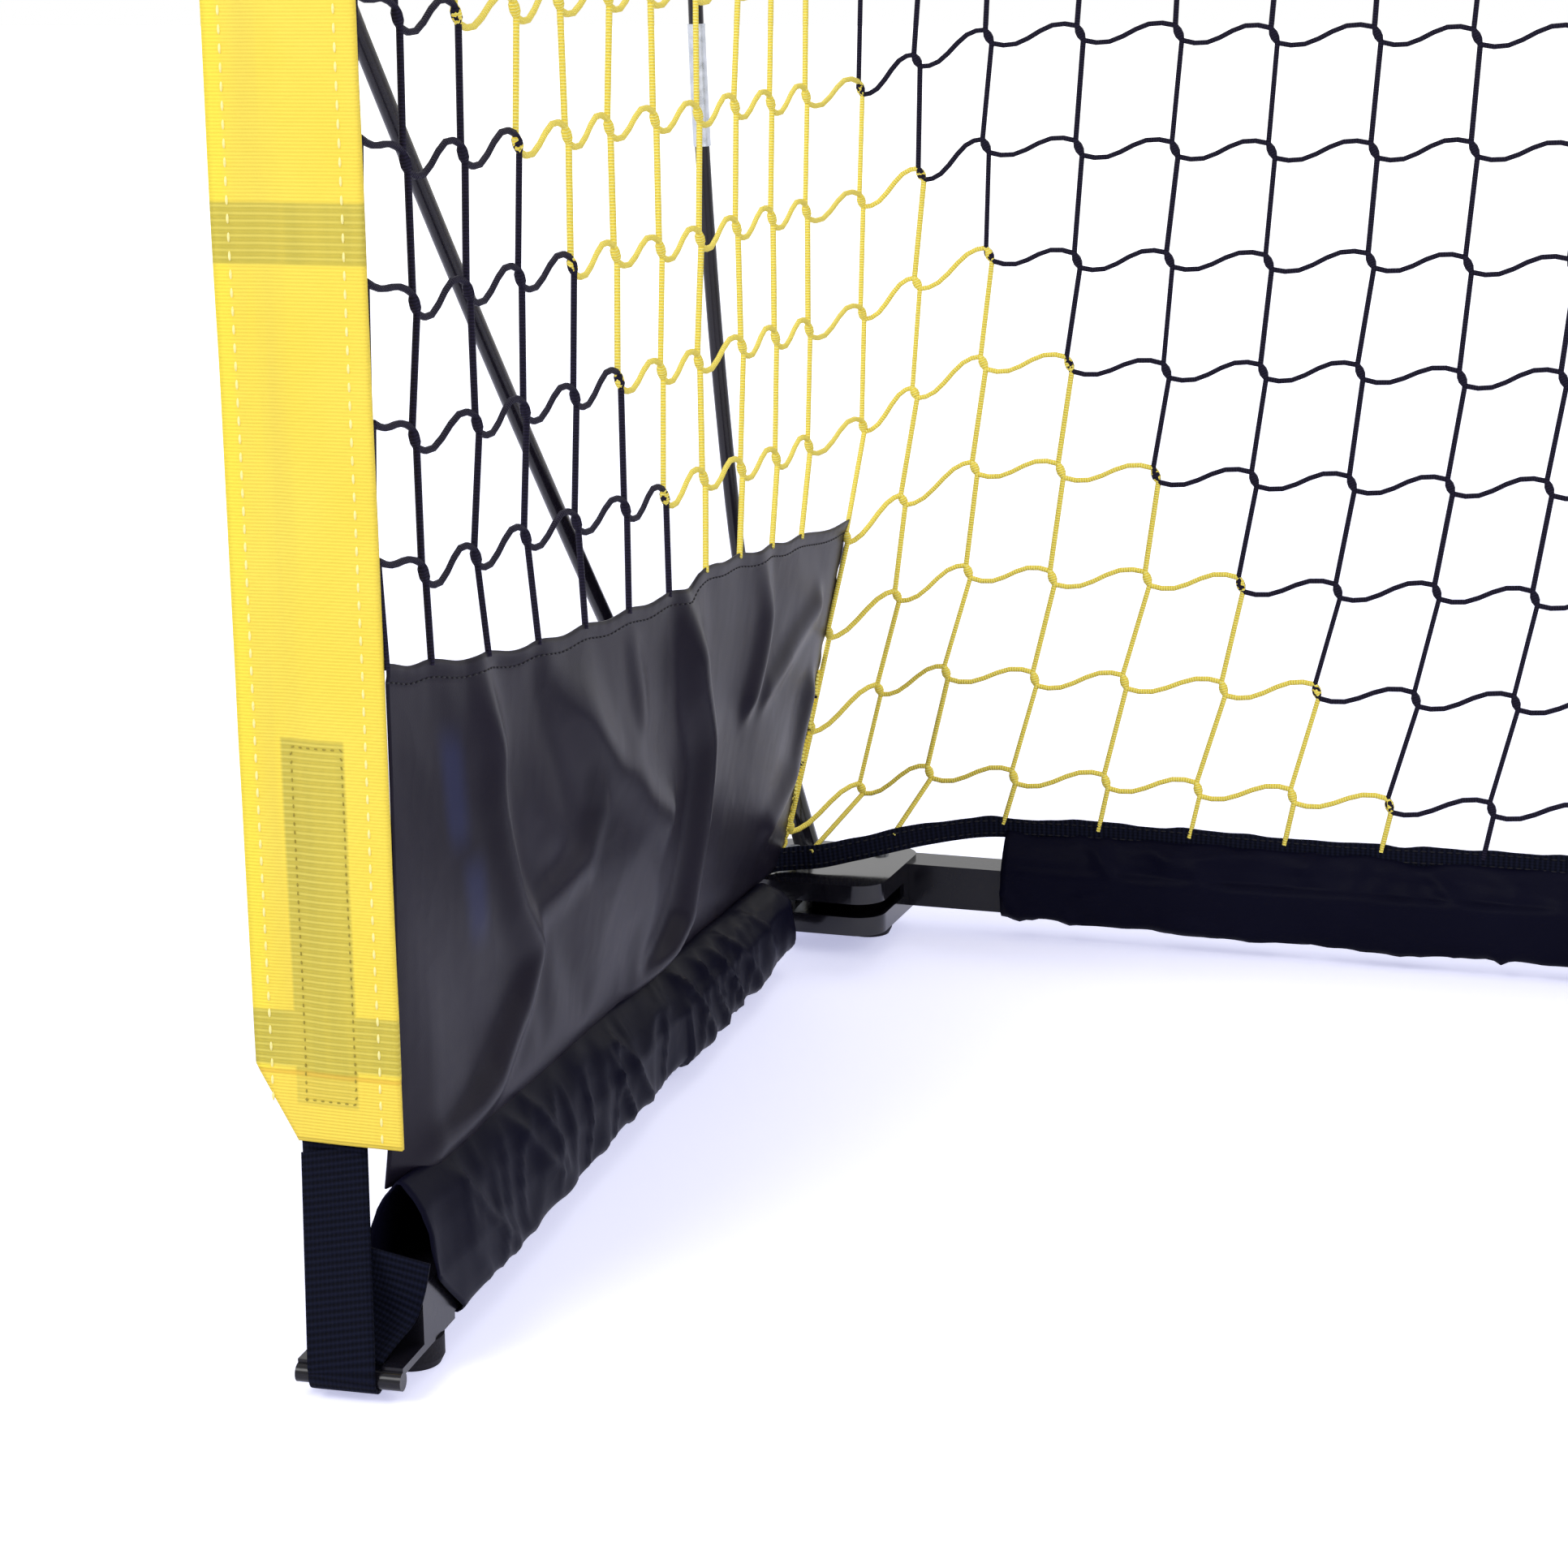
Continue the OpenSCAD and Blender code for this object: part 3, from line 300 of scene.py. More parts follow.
def yellow_tape():
    """The band's tape: its ribs, the webbing that shows through, painted shade where it dents, and its hem.
    """
    material, tree, shader = new_material(
        "ribbed_polyester_tape", Roughness=0.65, Specular_IOR_Level=0.15)
    uv, across, along = cloth_place(tree)
    lower, upper = (inside(tree, along, low, high, 0.8 * MM) for low, high in BAND_SHEER_STRIPS)
    anchor = combine(
        tree,
        inside(tree, along, 14 * MM, ANCHOR_TOP, 1.0 * MM),
        inside(tree, across, BAND_W / 2 - ANCHOR_HALF, BAND_W / 2 + ANCHOR_HALF, 0.8 * MM),
        "MULTIPLY",
    )
    webbing = combine(tree, combine(tree, lower, upper, "MAXIMUM"), anchor, "MAXIMUM")
    ribs, coarse = wave(tree, along, RIB_PITCH), wave(tree, along, 2 * RIB_PITCH)
    place = add_node(tree, "ShaderNodeTexCoord").outputs["Object"]
    cloud = add_node(tree, "ShaderNodeTexNoise", {"Vector": place, "Scale": 22.0, "Detail": 3.0})
    fibre = add_node(tree, "ShaderNodeTexNoise", {"Vector": place, "Scale": 1400.0, "Detail": 2.0})
    drawn_out = add_node(tree, "ShaderNodeMapping", {"Vector": uv, "Scale": (90.0, 6.0, 1.0)})
    long_cloud = add_node(tree, "ShaderNodeTexNoise", {
        "Vector": drawn_out.outputs[0], "Scale": 1.0, "Detail": 2.0}).outputs["Fac"]
    # Painted shade: a darker gold, drifting along the tape, where it dents back between the outer seam and
    # the middle
    dent_shade_drift = add_node(tree, "ShaderNodeMapRange", {
        "Value": long_cloud, "From Min": 0.3, "From Max": 0.75, "To Max": 0.75})
    sunk = combine(tree, inside(tree, across, 9 * MM, 24 * MM, 6 * MM), dent_shade_drift.outputs[0], "MULTIPLY")
    rim = combine(tree, inside(tree, across, -5 * MM, 6 * MM, 1.5 * MM), 0.7, "MULTIPLY")
    # The webbing shows where the tape is pressed on it, so its patches come and go
    press = add_node(tree, "ShaderNodeMapRange", {
        "Value": long_cloud, "From Min": 0.25, "From Max": 0.7, "To Min": 0.95, "To Max": 0.6})
    shown = combine(tree, webbing, press.outputs[0], "MULTIPLY")
    olive = add_node(tree, "ShaderNodeMix", {
        0: coarse, 6: linear("#b7a947"), 7: linear("#cfc25e")}, data_type="RGBA")
    # Three layers lie on each other in the hem, so little shows through but the anchor
    bare = combine(tree, 1.0, combine(tree, anchor, 0.45, "MULTIPLY"), "SUBTRACT")
    hem = combine(tree, inside(tree, along, -1.0, HEM_TOP, 0.4 * MM), 0.75, "MULTIPLY")
    hem = combine(tree, hem, bare, "MULTIPLY")
    edge = inside(tree, along, HEM_TOP - 1.2 * MM, HEM_TOP + 0.6 * MM, 0.5 * MM)
    tape = linear("#f7d94b")
    for share, colour in (
        (cloud.outputs["Fac"], linear("#fde560")),
        # painted shade in the tape's dent
        (sunk, linear("#ecd25a")),
        (rim, linear("#fde64c")),
        (combine(tree, ribs, 0.10, "MULTIPLY"), linear("#dcb63a")),
        (shown, olive.outputs[2]),
        (hem, linear("#f9da58")),
        (combine(tree, edge, 0.5, "MULTIPLY"), linear("#d9a83a")),
    ):
        tape = add_node(tree, "ShaderNodeMix", {0: share, 6: tape, 7: colour}, data_type="RGBA").outputs[2]
    tree.links.new(tape, shader.inputs["Base Color"])
    relief = combine(tree, ribs, combine(tree, fibre.outputs["Fac"], 0.6, "MULTIPLY"), "ADD")
    bump(tree, shader, relief, 0.14 * MM)
    return material


# %% [markdown]
# ## Webbing, lining cloth and nylon
#
# Webbing has one woven finish. Lining and nylon share another, a thin filament cloth
# with small creases, and the lining adds two slivers of daylight, painted on in blue.

# %% Webbing, lining cloth and nylon
def woven_webbing():
    """Black polyester webbing: ribs across, painted shade in the grooves and painted sheen on the ribs and
    fibres.
    """
    material, tree, shader = new_material(
        "woven_black_webbing", Roughness=0.75, Specular_IOR_Level=0.06)
    _, across, along = cloth_place(tree)
    ribs, warp = wave(tree, along, 2.5 * MM), wave(tree, across, 1.6 * MM)
    place = add_node(tree, "ShaderNodeTexCoord").outputs["Object"]
    fibre = add_node(tree, "ShaderNodeTexNoise", {"Vector": place, "Scale": 700.0, "Detail": 4.0})
    relief = combine(tree, ribs, combine(tree, warp, 0.4, "MULTIPLY"), "ADD")
    relief = combine(tree, relief, combine(tree, fibre.outputs["Fac"], 0.5, "MULTIPLY"), "ADD")
    # Painted shade and sheen: the colour is darker where the relief is low and paler where it is high
    tone = add_node(tree, "ShaderNodeMapRange", {"Value": relief, "From Min": 0.2, "From Max": 1.8})
    colour = add_node(tree, "ShaderNodeMix", {
        0: tone.outputs[0], 6: linear("#04050d"), 7: linear("#15182b")}, data_type="RGBA")
    tree.links.new(colour.outputs[2], shader.inputs["Base Color"])
    bump(tree, shader, relief, 0.35 * MM)
    return material


def fine_cloth(name, dark, light, roughness, gleam, crease_scale, crease_depth):
    """Thin filament cloth: a weave too fine to see, small creases and a satin gleam."""
    material, tree, shader = new_material(
        name, Roughness=roughness, Specular_IOR_Level=gleam)
    uv = cloth_place(tree)[0]
    stretched = add_node(tree, "ShaderNodeMapping", {"Vector": uv, "Scale": (1.0, 0.8, 1.0)})
    crease = add_node(tree, "ShaderNodeTexNoise", {
        "Vector": stretched.outputs[0], "Scale": crease_scale, "Detail": 3.0, "Distortion": 0.3})
    from_middle = combine(tree, crease.outputs["Fac"], 0.5, "SUBTRACT")
    ridge = add_node(tree, "ShaderNodeMath", {0: from_middle}, operation="ABSOLUTE")
    weave = add_node(tree, "ShaderNodeTexNoise", {"Vector": uv, "Scale": 1500.0, "Detail": 2.0})
    tone = add_node(tree, "ShaderNodeTexNoise", {"Vector": uv, "Scale": 14.0, "Detail": 3.0})
    colour = add_node(tree, "ShaderNodeMix", {
        0: tone.outputs["Fac"], 6: linear(dark), 7: linear(light)}, data_type="RGBA")
    tree.links.new(colour.outputs[2], shader.inputs["Base Color"])
    relief = combine(tree, combine(tree, ridge.outputs[0], -2.0, "MULTIPLY"),
                     combine(tree, weave.outputs["Fac"], 0.06, "MULTIPLY"), "ADD")
    bump(tree, shader, relief, crease_depth)
    return material, tree, shader, colour


# Each painted sliver of daylight: its distance from the band, and its span of height
PAINTED_DAYLIGHT_SLIVERS = [(85 * MM, 118 * MM, 158 * MM), (94 * MM, 78 * MM, 108 * MM)]
SLIVER_HALF, SLIVER_LEAN = 8 * MM, 0.22


def lining_cloth():
    """The skirt's lining, with two slivers of daylight from outside painted on it in blue."""
    material, tree, shader, colour = fine_cloth(
        "satin_lining_cloth", "#100e18", "#221e2d", 0.36, 0.075, 14.0, 0.5 * MM)
    _, across, along = cloth_place(tree)
    drift = combine(tree, combine(tree, along, SLIVER_LEAN, "MULTIPLY"), across, "ADD")
    daylight_masks = [
        combine(tree, inside(tree, drift, middle - SLIVER_HALF, middle + SLIVER_HALF, 6 * MM),
                inside(tree, along, low, high, 9 * MM), "MULTIPLY")
        for middle, low, high in PAINTED_DAYLIGHT_SLIVERS]
    # painted light: blue where daylight comes through the lining
    painted_daylight = add_node(tree, "ShaderNodeMix", {
        0: combine(tree, *daylight_masks, "MAXIMUM"), 6: colour.outputs[2], 7: linear("#232646")}, data_type="RGBA")
    tree.links.new(painted_daylight.outputs[2], shader.inputs["Base Color"])
    return material


YELLOW_TAPE = yellow_tape()
WEBBING = woven_webbing()
LINING = lining_cloth()
NYLON = fine_cloth("crisp_sleeve_nylon", "#080817", "#121224", 0.4, 0.025, 18.0, 0.4 * MM)[0]
print("cloth finishes:", [cloth.name for cloth in (YELLOW_TAPE, WEBBING, LINING, NYLON)])

# %% [markdown]
# ## Cord and thread
#
# The net is twisted cord in two colours. Each piece of cord carries a `tone`: 0 is
# yellow, 1 is black, and a half is a knot where both colours meet, so its strands take
# turns. `along` runs down the cord in metres and gives the twist its small beads.


# %% Cord and thread finishes
TWIST_PITCH = 1.25 * MM


def twisted_cord():
    """Two-tone cord: the strands are yellow, black, or take turns where both meet, with painted shade between
    the twist's beads.
    """
    material, tree, shader = new_material("twisted_net_cord", Roughness=0.6, Specular_IOR_Level=0.1)
    tone = add_node(tree, "ShaderNodeAttribute", attribute_name="tone").outputs["Fac"]
    along = add_node(tree, "ShaderNodeAttribute", attribute_name="along").outputs["Fac"]
    beads = wave(tree, along, TWIST_PITCH)
    place = add_node(tree, "ShaderNodeTexCoord").outputs["Object"]
    strand = add_node(tree, "ShaderNodeTexNoise", {"Vector": place, "Scale": 420.0, "Detail": 1.0})
    turns = combine(tree, combine(tree, strand.outputs["Fac"], 0.5, "SUBTRACT"), 2.4, "MULTIPLY")
    black_share = add_node(tree, "ShaderNodeMath", {
        0: combine(tree, tone, turns, "ADD"), 1: 0.5}, operation="GREATER_THAN")
    # A cord that is all one colour keeps it, whatever the strands do
    share = add_node(tree, "ShaderNodeMix", {
        0: inside(tree, tone, 0.2, 0.8, 0.02), 2: tone, 3: black_share.outputs[0]}, data_type="FLOAT")
    # Painted shade and highlight: each colour is darker between the twist's beads and lighter on them
    yellow, black = (
        add_node(tree, "ShaderNodeMix", {0: beads, 6: linear(dark), 7: linear(light)}, data_type="RGBA")
        for dark, light in (("#fadb42", "#fff58c"), ("#12101f", "#231f35")))
    colour = add_node(tree, "ShaderNodeMix", {
        0: share.outputs[0], 6: yellow.outputs[2], 7: black.outputs[2]}, data_type="RGBA")
    tree.links.new(colour.outputs[2], shader.inputs["Base Color"])
    bump(tree, shader, beads, 0.3 * MM)
    return material


CORD = twisted_cord()
YELLOW_THREAD, OLIVE_THREAD, BLACK_THREAD = (
    grained(tone + "_sewing_thread", dark, light, 900.0, 1.0, 0.1 * MM,
            Roughness=0.5, Specular_IOR_Level=0.2)[0]
    for tone, dark, light in (
        ("yellow", "#f6e680", "#fffbc0"), ("olive", "#8f8030", "#b3a548"), ("black", "#07070d", "#17161f")))
print("threads:", [thread.name for thread in (YELLOW_THREAD, OLIVE_THREAD, BLACK_THREAD)])

# %% [markdown]
# ## A thin shell from a grid of points
#
# Every cloth piece starts as a grid of points in rows and columns. `shell` gives the
# grid a front, a back and a rim, so that the mesh is closed, and a UV map in metres that
# is the flat cut of the cloth. Building the thickness here, and not with a modifier,
# keeps the piece a plain mesh that can bend with a folding leg. `both_sides` makes the
# left piece and its mirror image.


# %% Shells
def grid_normals(grid):
    """The direction square to the cloth at each point of a grid."""
    rows = np.gradient(grid, axis=0)
    cols = np.gradient(grid, axis=1)
    normals = np.cross(cols, rows)
    return normals / np.maximum(np.linalg.norm(normals, axis=2, keepdims=True), 1e-12)


def flat_map(grid):
    """Mean metres along the rows and the columns, as the cloth's flat cut."""
    across = np.linalg.norm(np.diff(grid, axis=1), axis=2).mean(axis=0)
    along = np.linalg.norm(np.diff(grid, axis=0), axis=2).mean(axis=1)
    u = np.concatenate([[0], np.cumsum(across)])
    v = np.concatenate([[0], np.cumsum(along)])
    return np.stack(np.meshgrid(u, v), axis=2)


def squares(grid):
    """The numbers of a grid's points, and the corners of the squares between them."""
    index = np.arange(grid.shape[0] * grid.shape[1]).reshape(grid.shape[:2])
    quads = np.stack([index[:-1, :-1], index[:-1, 1:], index[1:, 1:], index[1:, :-1]], axis=2)
    return index, quads.reshape(-1, 4)


def shell(name, grid, thickness, material, uv=None):
    """A closed sheet of this thickness on a grid, with its flat cut as UV map."""
    uv = flat_map(grid) if uv is None else uv
    lift = grid_normals(grid) * thickness / 2
    points = np.concatenate([(grid + lift).reshape(-1, 3), (grid - lift).reshape(-1, 3)])
    index, quads = squares(grid)
    size = index.size
    rim = np.concatenate([index[0, :-1], index[:-1, -1], index[-1, :0:-1], index[:0:-1, 0]])
    after = np.roll(rim, -1)
    edge = np.stack([after, rim, rim + size, after + size], axis=1)
    faces = np.concatenate([quads, quads[:, ::-1] + size, edge])
    mesh = bpy.data.meshes.new(name)
    mesh.from_pydata(points.tolist(), [], faces.tolist())
    layer = mesh.uv_layers.new(name="cloth")
    flat = np.concatenate([uv.reshape(-1, 2)] * 2)
    loops = np.empty(len(mesh.loops), np.int32)
    mesh.loops.foreach_get("vertex_index", loops)
    layer.data.foreach_set("uv", flat[loops].astype(np.float32).ravel())
    mesh.shade_smooth()
    mesh.materials.append(material)
    return new_object(name, mesh)


def mirrored(grid):
    """The right side's grid, with its columns turned so that the front stays outside."""
    flipped = grid * np.array([-1.0, 1.0, 1.0])
    return flipped[:, ::-1]


def on_side(grid, side):
    """The left side's grid as it is, or mirrored for the right side."""
    return grid if side == "left" else mirrored(grid)


def both_sides(name, grid, thickness, material):
    """A shell on the left and its mirror image on the right."""
    return {side: shell(name + "_" + side, on_side(grid, side), thickness, material) for side in SIDES}


def grid_size(grid):
    """Mean length of a cloth grid's rows and columns: its flat cut."""
    return tuple(float(np.linalg.norm(np.diff(grid, axis=a), axis=2).sum(axis=a).mean()) for a in (1, 0))


def finer(grid, times=2):
    """More points between those of a grid, on smooth curves through them."""
    for axis in (0, 1):
        g = np.moveaxis(grid, axis, 0)
        padded = np.concatenate([[2 * g[0] - g[1]], g, [2 * g[-1] - g[-2]]])
        a, b, c, d = padded[:-3], padded[1:-2], padded[2:-1], padded[3:]
        parts = []
        for k in range(times):
            t = k / times
            parts.append(b + 0.5 * t * (c - a + t * (2 * a - 5 * b + 4 * c - d + t * (3 * (b - c) + d - a))))
        made = np.stack(parts, axis=1).reshape((-1,) + g.shape[1:])
        grid = np.moveaxis(np.concatenate([made, g[-1:]]), 0, axis)
    return grid


def noise(x, y, seed):
    """Smooth noise from -1 to 1 with one bump per unit, the same on every run."""
    table = np.random.default_rng(seed).uniform(-1, 1, (64, 64))
    xi, yi = np.floor(x).astype(int), np.floor(y).astype(int)
    xf, yf = x - xi, y - yi
    xf, yf = xf * xf * (3 - 2 * xf), yf * yf * (3 - 2 * yf)

    def between(j):
        return table[xi % 64, (yi + j) % 64] * (1 - xf) + table[(xi + 1) % 64, (yi + j) % 64] * xf

    return between(0) * (1 - yf) + between(1) * yf


print("largest noise:", noise(np.linspace(0, 60, 200), np.linspace(0, 60, 200), 1).max())


# %% [markdown]
# ## The cloth solver
#
# Folds in thin cloth come from slack: the cloth was cut a little larger than the space
# that it is sewn into. `drape` gives Blender's cloth solver a sheet at its sewn place
# and, as a shape key, the larger flat cut that its threads want to keep. The sewn points
# are pinned, and the rest buckles into folds by itself. No point may move further than
# `cap`, so the cloth stays in the space of its solid.


# %% Drape
def drape(grid, cut, pinned, frames, cap, gravity, bend):
    """The grid after the solver has hung it, cut as `cut` and held where it is pinned."""
    mesh = bpy.data.meshes.new("drape")
    mesh.from_pydata(grid.reshape(-1, 3).tolist(), [], squares(grid)[1].tolist())
    cloth = new_object("drape", mesh)
    cloth.shape_key_add(name="sewn")
    flat = cloth.shape_key_add(name="cut")
    flat.data.foreach_set("co", cut.reshape(-1).astype(np.float32))
    group = cloth.vertex_groups.new(name="sewn")
    weights = pinned.reshape(-1)
    for value in np.unique(weights[weights > 0]):
        group.add(np.nonzero(weights == value)[0].tolist(), float(value), "REPLACE")
    solver = cloth.modifiers.new("drape", "CLOTH")
    settings = solver.settings
    for key, value in {
        "quality": 6, "mass": 0.02, "tension_stiffness": 12, "compression_stiffness": 12,
        "shear_stiffness": 4, "bending_stiffness": bend, "air_damping": 3,
        "vertex_group_mass": "sewn", "rest_shape_key": flat,
    }.items():
        setattr(settings, key, value)
    settings.effector_weights.gravity = gravity
    solver.collision_settings.use_collision = False
    solver.point_cache.frame_start, solver.point_cache.frame_end = 1, frames
    for number in range(1, frames + 1):
        bpy.context.scene.frame_set(number)
    shown = cloth.evaluated_get(bpy.context.evaluated_depsgraph_get())
    points = np.empty(grid.size, np.float32)
    shown.data.vertices.foreach_get("co", points)
    bpy.data.objects.remove(cloth)
    bpy.context.scene.frame_set(1)
    moved = points.reshape(grid.shape).astype(float) - grid
    length = np.linalg.norm(moved, axis=2, keepdims=True)
    return grid + moved * np.minimum(1, cap / np.maximum(length, 1e-9))


# %% [markdown]
# ## Skirts
#
# A skirt closes each lower corner between the post and the rear housing. Its front edge
# is sewn behind the band, its foot to the leg's sleeve, its rear edge is laced to the net,
# and its top hangs from the net's cords. It was cut larger than the place it is sewn into,
# so it hangs in a few large folds. Left to the solver alone, so thin a sheet breaks into
# fine streaks. So the large folds are drawn first, as ridges with a height and a width,
# and the solver then slackens the cloth between them and adds the small creases. The
# right skirt is the mirror image.

# %% Skirt
SKIRT_T = 0.7 * MM
TUCK = 9 * MM
SKIRT_OUTER_X = corner("skirt_left")[0][0]
SKIRT_FRONT_LOW = np.array([BAND_INNER, BAND_BACK + 1 * MM, 67.5 * MM])
SKIRT_FRONT_TOP = SKIRT_FRONT_LOW + np.array([0, 0, 195 * MM])
SKIRT_REAR_LOW = np.array([pivot[0] - 3 * MM, pivot[1] - 12 * MM, 40 * MM])
SKIRT_REAR_TOP = np.array([NET_X, REAR_Y - 26 * MM, 216.6 * MM])
SKIRT_ROWS, SKIRT_COLS = 44, 130
SKIRT_EXTRA = 1.015
SKIRT_MM_HIGH = 185.0
# How far the skirt bellies inwards and its top dips between two cords, in mm
SKIRT_BELLY, SKIRT_SCALLOP = 6, 1.6
# The share of the length from which the rear edge is drawn in by its lacing
LACED_FROM = 0.955
SIDE_MESHES = 11
# Folds: height and half width in mm, then points as shares of the skirt's length and height
SKIRT_FOLDS = [
    (6.5, 9, [(.14, 1), (.155, .79), (.155, .7), (.168, .6), (.193, .46), (.235, .33), (.21, .22),
              (.15, .1), (.04, 0)]),
    (5.0, 13, [(.26, .945), (.335, .77), (.395, .65), (.51, .46)]),
    (4.0, 9, [(.345, .70), (.355, .575), (.33, .47), (.23, .38)]),
    (2.5, 9, [(.42, .9), (.43, .72)]),
    (9, 10, [(.53, 1), (.595, .58), (.605, .36), (.61, .13), (.56, .05), (.5, 0)]),
    (5, 8, [(.735, 1), (.755, .83), (.735, .62)]),
    (4.5, 8, [(.92, .79), (.78, .62)]),
    (5, 10, [(.935, .53), (.955, .33), (.86, .2)]),
]
# Height of the top edge over a straight line, in mm, at shares of its length
TOP_EDGE = [
    (0, 0), (.117, -5.3), (.22, -7.9), (.392, -7.3), (.545, -4.6), (.565, -1.2), (.612, 1.6),
    (.774, 1), (1, 0)]


def side_share(c):
    """How far along the side a column of the net stands, from the band to the corner."""
    return 0.065 + 0.0867 * (c - 1) if 0 < c < SIDE_MESHES else c / SIDE_MESHES


def path_distance(x, y, path):
    """Distance of points from a polyline."""
    best = np.full(x.shape, np.inf)
    for (ax, ay), (bx, by) in zip(path[:-1], path[1:]):
        way = np.array([bx - ax, by - ay])
        t = np.clip(((x - ax) * way[0] + (y - ay) * way[1]) / (way @ way), 0, 1)
        best = np.minimum(best, np.hypot(x - ax - t * way[0], y - ay - t * way[1]))
    return best


def skirt_folds(s, t):
    """How far the folds stand inwards, in mm."""
    length = np.linalg.norm(SKIRT_REAR_LOW - SKIRT_FRONT_LOW) / MM
    wobble = 5 * noise(s * 9, t * 4, 21)
    folds = np.zeros_like(s)
    for rise, width, path in SKIRT_FOLDS:
        ridge = [(a * length, b * SKIRT_MM_HIGH) for a, b in path]
        away = path_distance(s * length + wobble, t * SKIRT_MM_HIGH, ridge)
        crest, skirts_of_it = np.exp(-(away / width) ** 2), np.exp(-(away / (2.4 * width)) ** 2)
        folds = np.maximum(folds, rise * crest) + 0.25 * rise * skirts_of_it
    small = 1.0 * noise(s * 11 + t * 3, t * 5 - s * 3, 5)
    held = np.clip(t / 0.06, 0, 1) * np.clip(s / 0.05, 0, 1) * np.clip((1 - s) / 0.06, 0, 1)
    return (folds + small) * held * (1 - 0.8 * np.clip((t - 0.82) / 0.18, 0, 1))


def smoothed(grid, times):
    """The grid with its smallest bumps evened out. Its edges stay."""
    grid = grid.copy()
    for _ in range(times):
        beside = grid[:-2, 1:-1] + grid[2:, 1:-1] + grid[1:-1, :-2] + grid[1:-1, 2:]
        grid[1:-1, 1:-1] = (4 * grid[1:-1, 1:-1] + beside) / 8
    return grid


def skirt_start():
    """The left skirt before it is hung, with its large folds drawn in."""
    s = np.linspace(0, 1, SKIRT_COLS)[None, :] + np.zeros((SKIRT_ROWS, 1))
    t = np.linspace(0, 1, SKIRT_ROWS)[:, None] + np.zeros((1, SKIRT_COLS))
    foot = SKIRT_FRONT_LOW + (SKIRT_REAR_LOW - SKIRT_FRONT_LOW) * s[..., None]
    top = SKIRT_FRONT_TOP + (SKIRT_REAR_TOP - SKIRT_FRONT_TOP) * s[..., None]
    columns = np.array([side_share(c) for c in range(SIDE_MESHES + 1)])
    between = np.interp(s, columns, np.arange(SIDE_MESHES + 1))
    scallop = SKIRT_SCALLOP * np.sin(between * math.pi) ** 2
    top[..., 2] += (np.interp(s, *zip(*TOP_EDGE)) - scallop) * MM
    grid = foot + (top - foot) * t[..., None]
    belly = SKIRT_BELLY * np.sin(t * math.pi * 0.75) * np.sin(s * math.pi)
    grid[..., 0] += (skirt_folds(s, t) + belly) * MM - TUCK * np.clip(1 - s / 0.05, 0, 1) * (1 - t) ** 3
    rear = np.clip((s - LACED_FROM) / 0.045, 0, 1) ** 2
    grid[..., 1] -= rear * (1.6 + 1.6 * np.sin(t * 61) + 1.2 * noise(t * 14, s * 0, 31)) * MM
    return grid


def skirt_pins():
    """1 at the points that are sewn: three edges, and the net's columns along the top."""
    pins = np.zeros((SKIRT_ROWS, SKIRT_COLS))
    pins[0, :] = pins[:, 0] = pins[:, -1] = 1
    held = np.array([side_share(c) for c in range(SIDE_MESHES + 1)]) * (SKIRT_COLS - 1)
    pins[-1, held.round().astype(int)] = 1
    return pins


skirt_grid = skirt_start()
# The flat cut is the start shape with its folds laid out, plus the ease that the solver gets
cut = skirt_grid[0, 0] + (skirt_grid - skirt_grid[0, 0]) * SKIRT_EXTRA
skirt_grid = drape(skirt_grid, cut, skirt_pins(), frames=16, cap=5 * MM, gravity=0.5, bend=6.0)
skirt_grid = finer(smoothed(skirt_grid, 2))
HEM_ROWS = 3
step = np.clip(np.arange(len(skirt_grid)) - (len(skirt_grid) - 1 - HEM_ROWS), 0, 1)
skirt_grid = skirt_grid + grid_normals(skirt_grid) * (0.5 * MM * step)[:, None, None]
# The solid's own extent bounds how far the folds may reach outwards
skirt_grid[..., 0] = np.maximum(skirt_grid[..., 0], SKIRT_OUTER_X)
skirts = both_sides("skirt_cloth", skirt_grid, SKIRT_T, LINING)

# %% [markdown]
# ## The net's plan
#
# The net is one sheet of square meshes that turns round the rear corners. Columns are
# counted from the left band round to the right one, and rows from the foot up the back
# and forward over the top. `knot_at` gives the place of any knot. Near the foot the real
# net hangs a little out of true: the columns drift towards the corners, and the rows
# climb towards the band.

# %% Knots of the net
BACK_MESHES, BACK_ROWS = 38, 21
CORNER_1, CORNER_2 = SIDE_MESHES, SIDE_MESHES + BACK_MESHES
LAST_COLUMN = 2 * SIDE_MESHES + BACK_MESHES
FIRST_ROW_Z = 83 * MM
NET_Z = NET_TOP - 1.1 * MM
ROW_H = (NET_Z - FIRST_ROW_Z) / BACK_ROWS
CORNER_Y = REAR_Y - 1.2 * MM
SIDE_FRONT = np.array([BAND_INNER - 2 * MM, BAND_BACK + 1.2 * MM])
# How far the first columns of the back net stand from the corner: they crowd there
CORNER_STEPS = np.array([0, 29.5, 65, 109.5]) * MM
CROWDED = len(CORNER_STEPS) - 1
OPEN_MESH = 2 * (abs(NET_X) - CORNER_STEPS[-1]) / (BACK_MESHES - 2 * CROWDED)
# How far the corner's knots hang below their rows, from the foot up
CORNER_DROP = np.array([23.5, 25, 29, 33, 34, 30, 27, 25]) * MM
SKIRT_KNOTS = 4
# Columns lean towards the corner in full this far from the middle of the goal, and less within
LEAN_REACH = 400 * MM
# A column's lean at the foot, the height at which it starts, and the drop to its full lean
DRIFT, DRIFT_TOP, DRIFT_DROP = 42 * MM, 440 * MM, 388 * MM
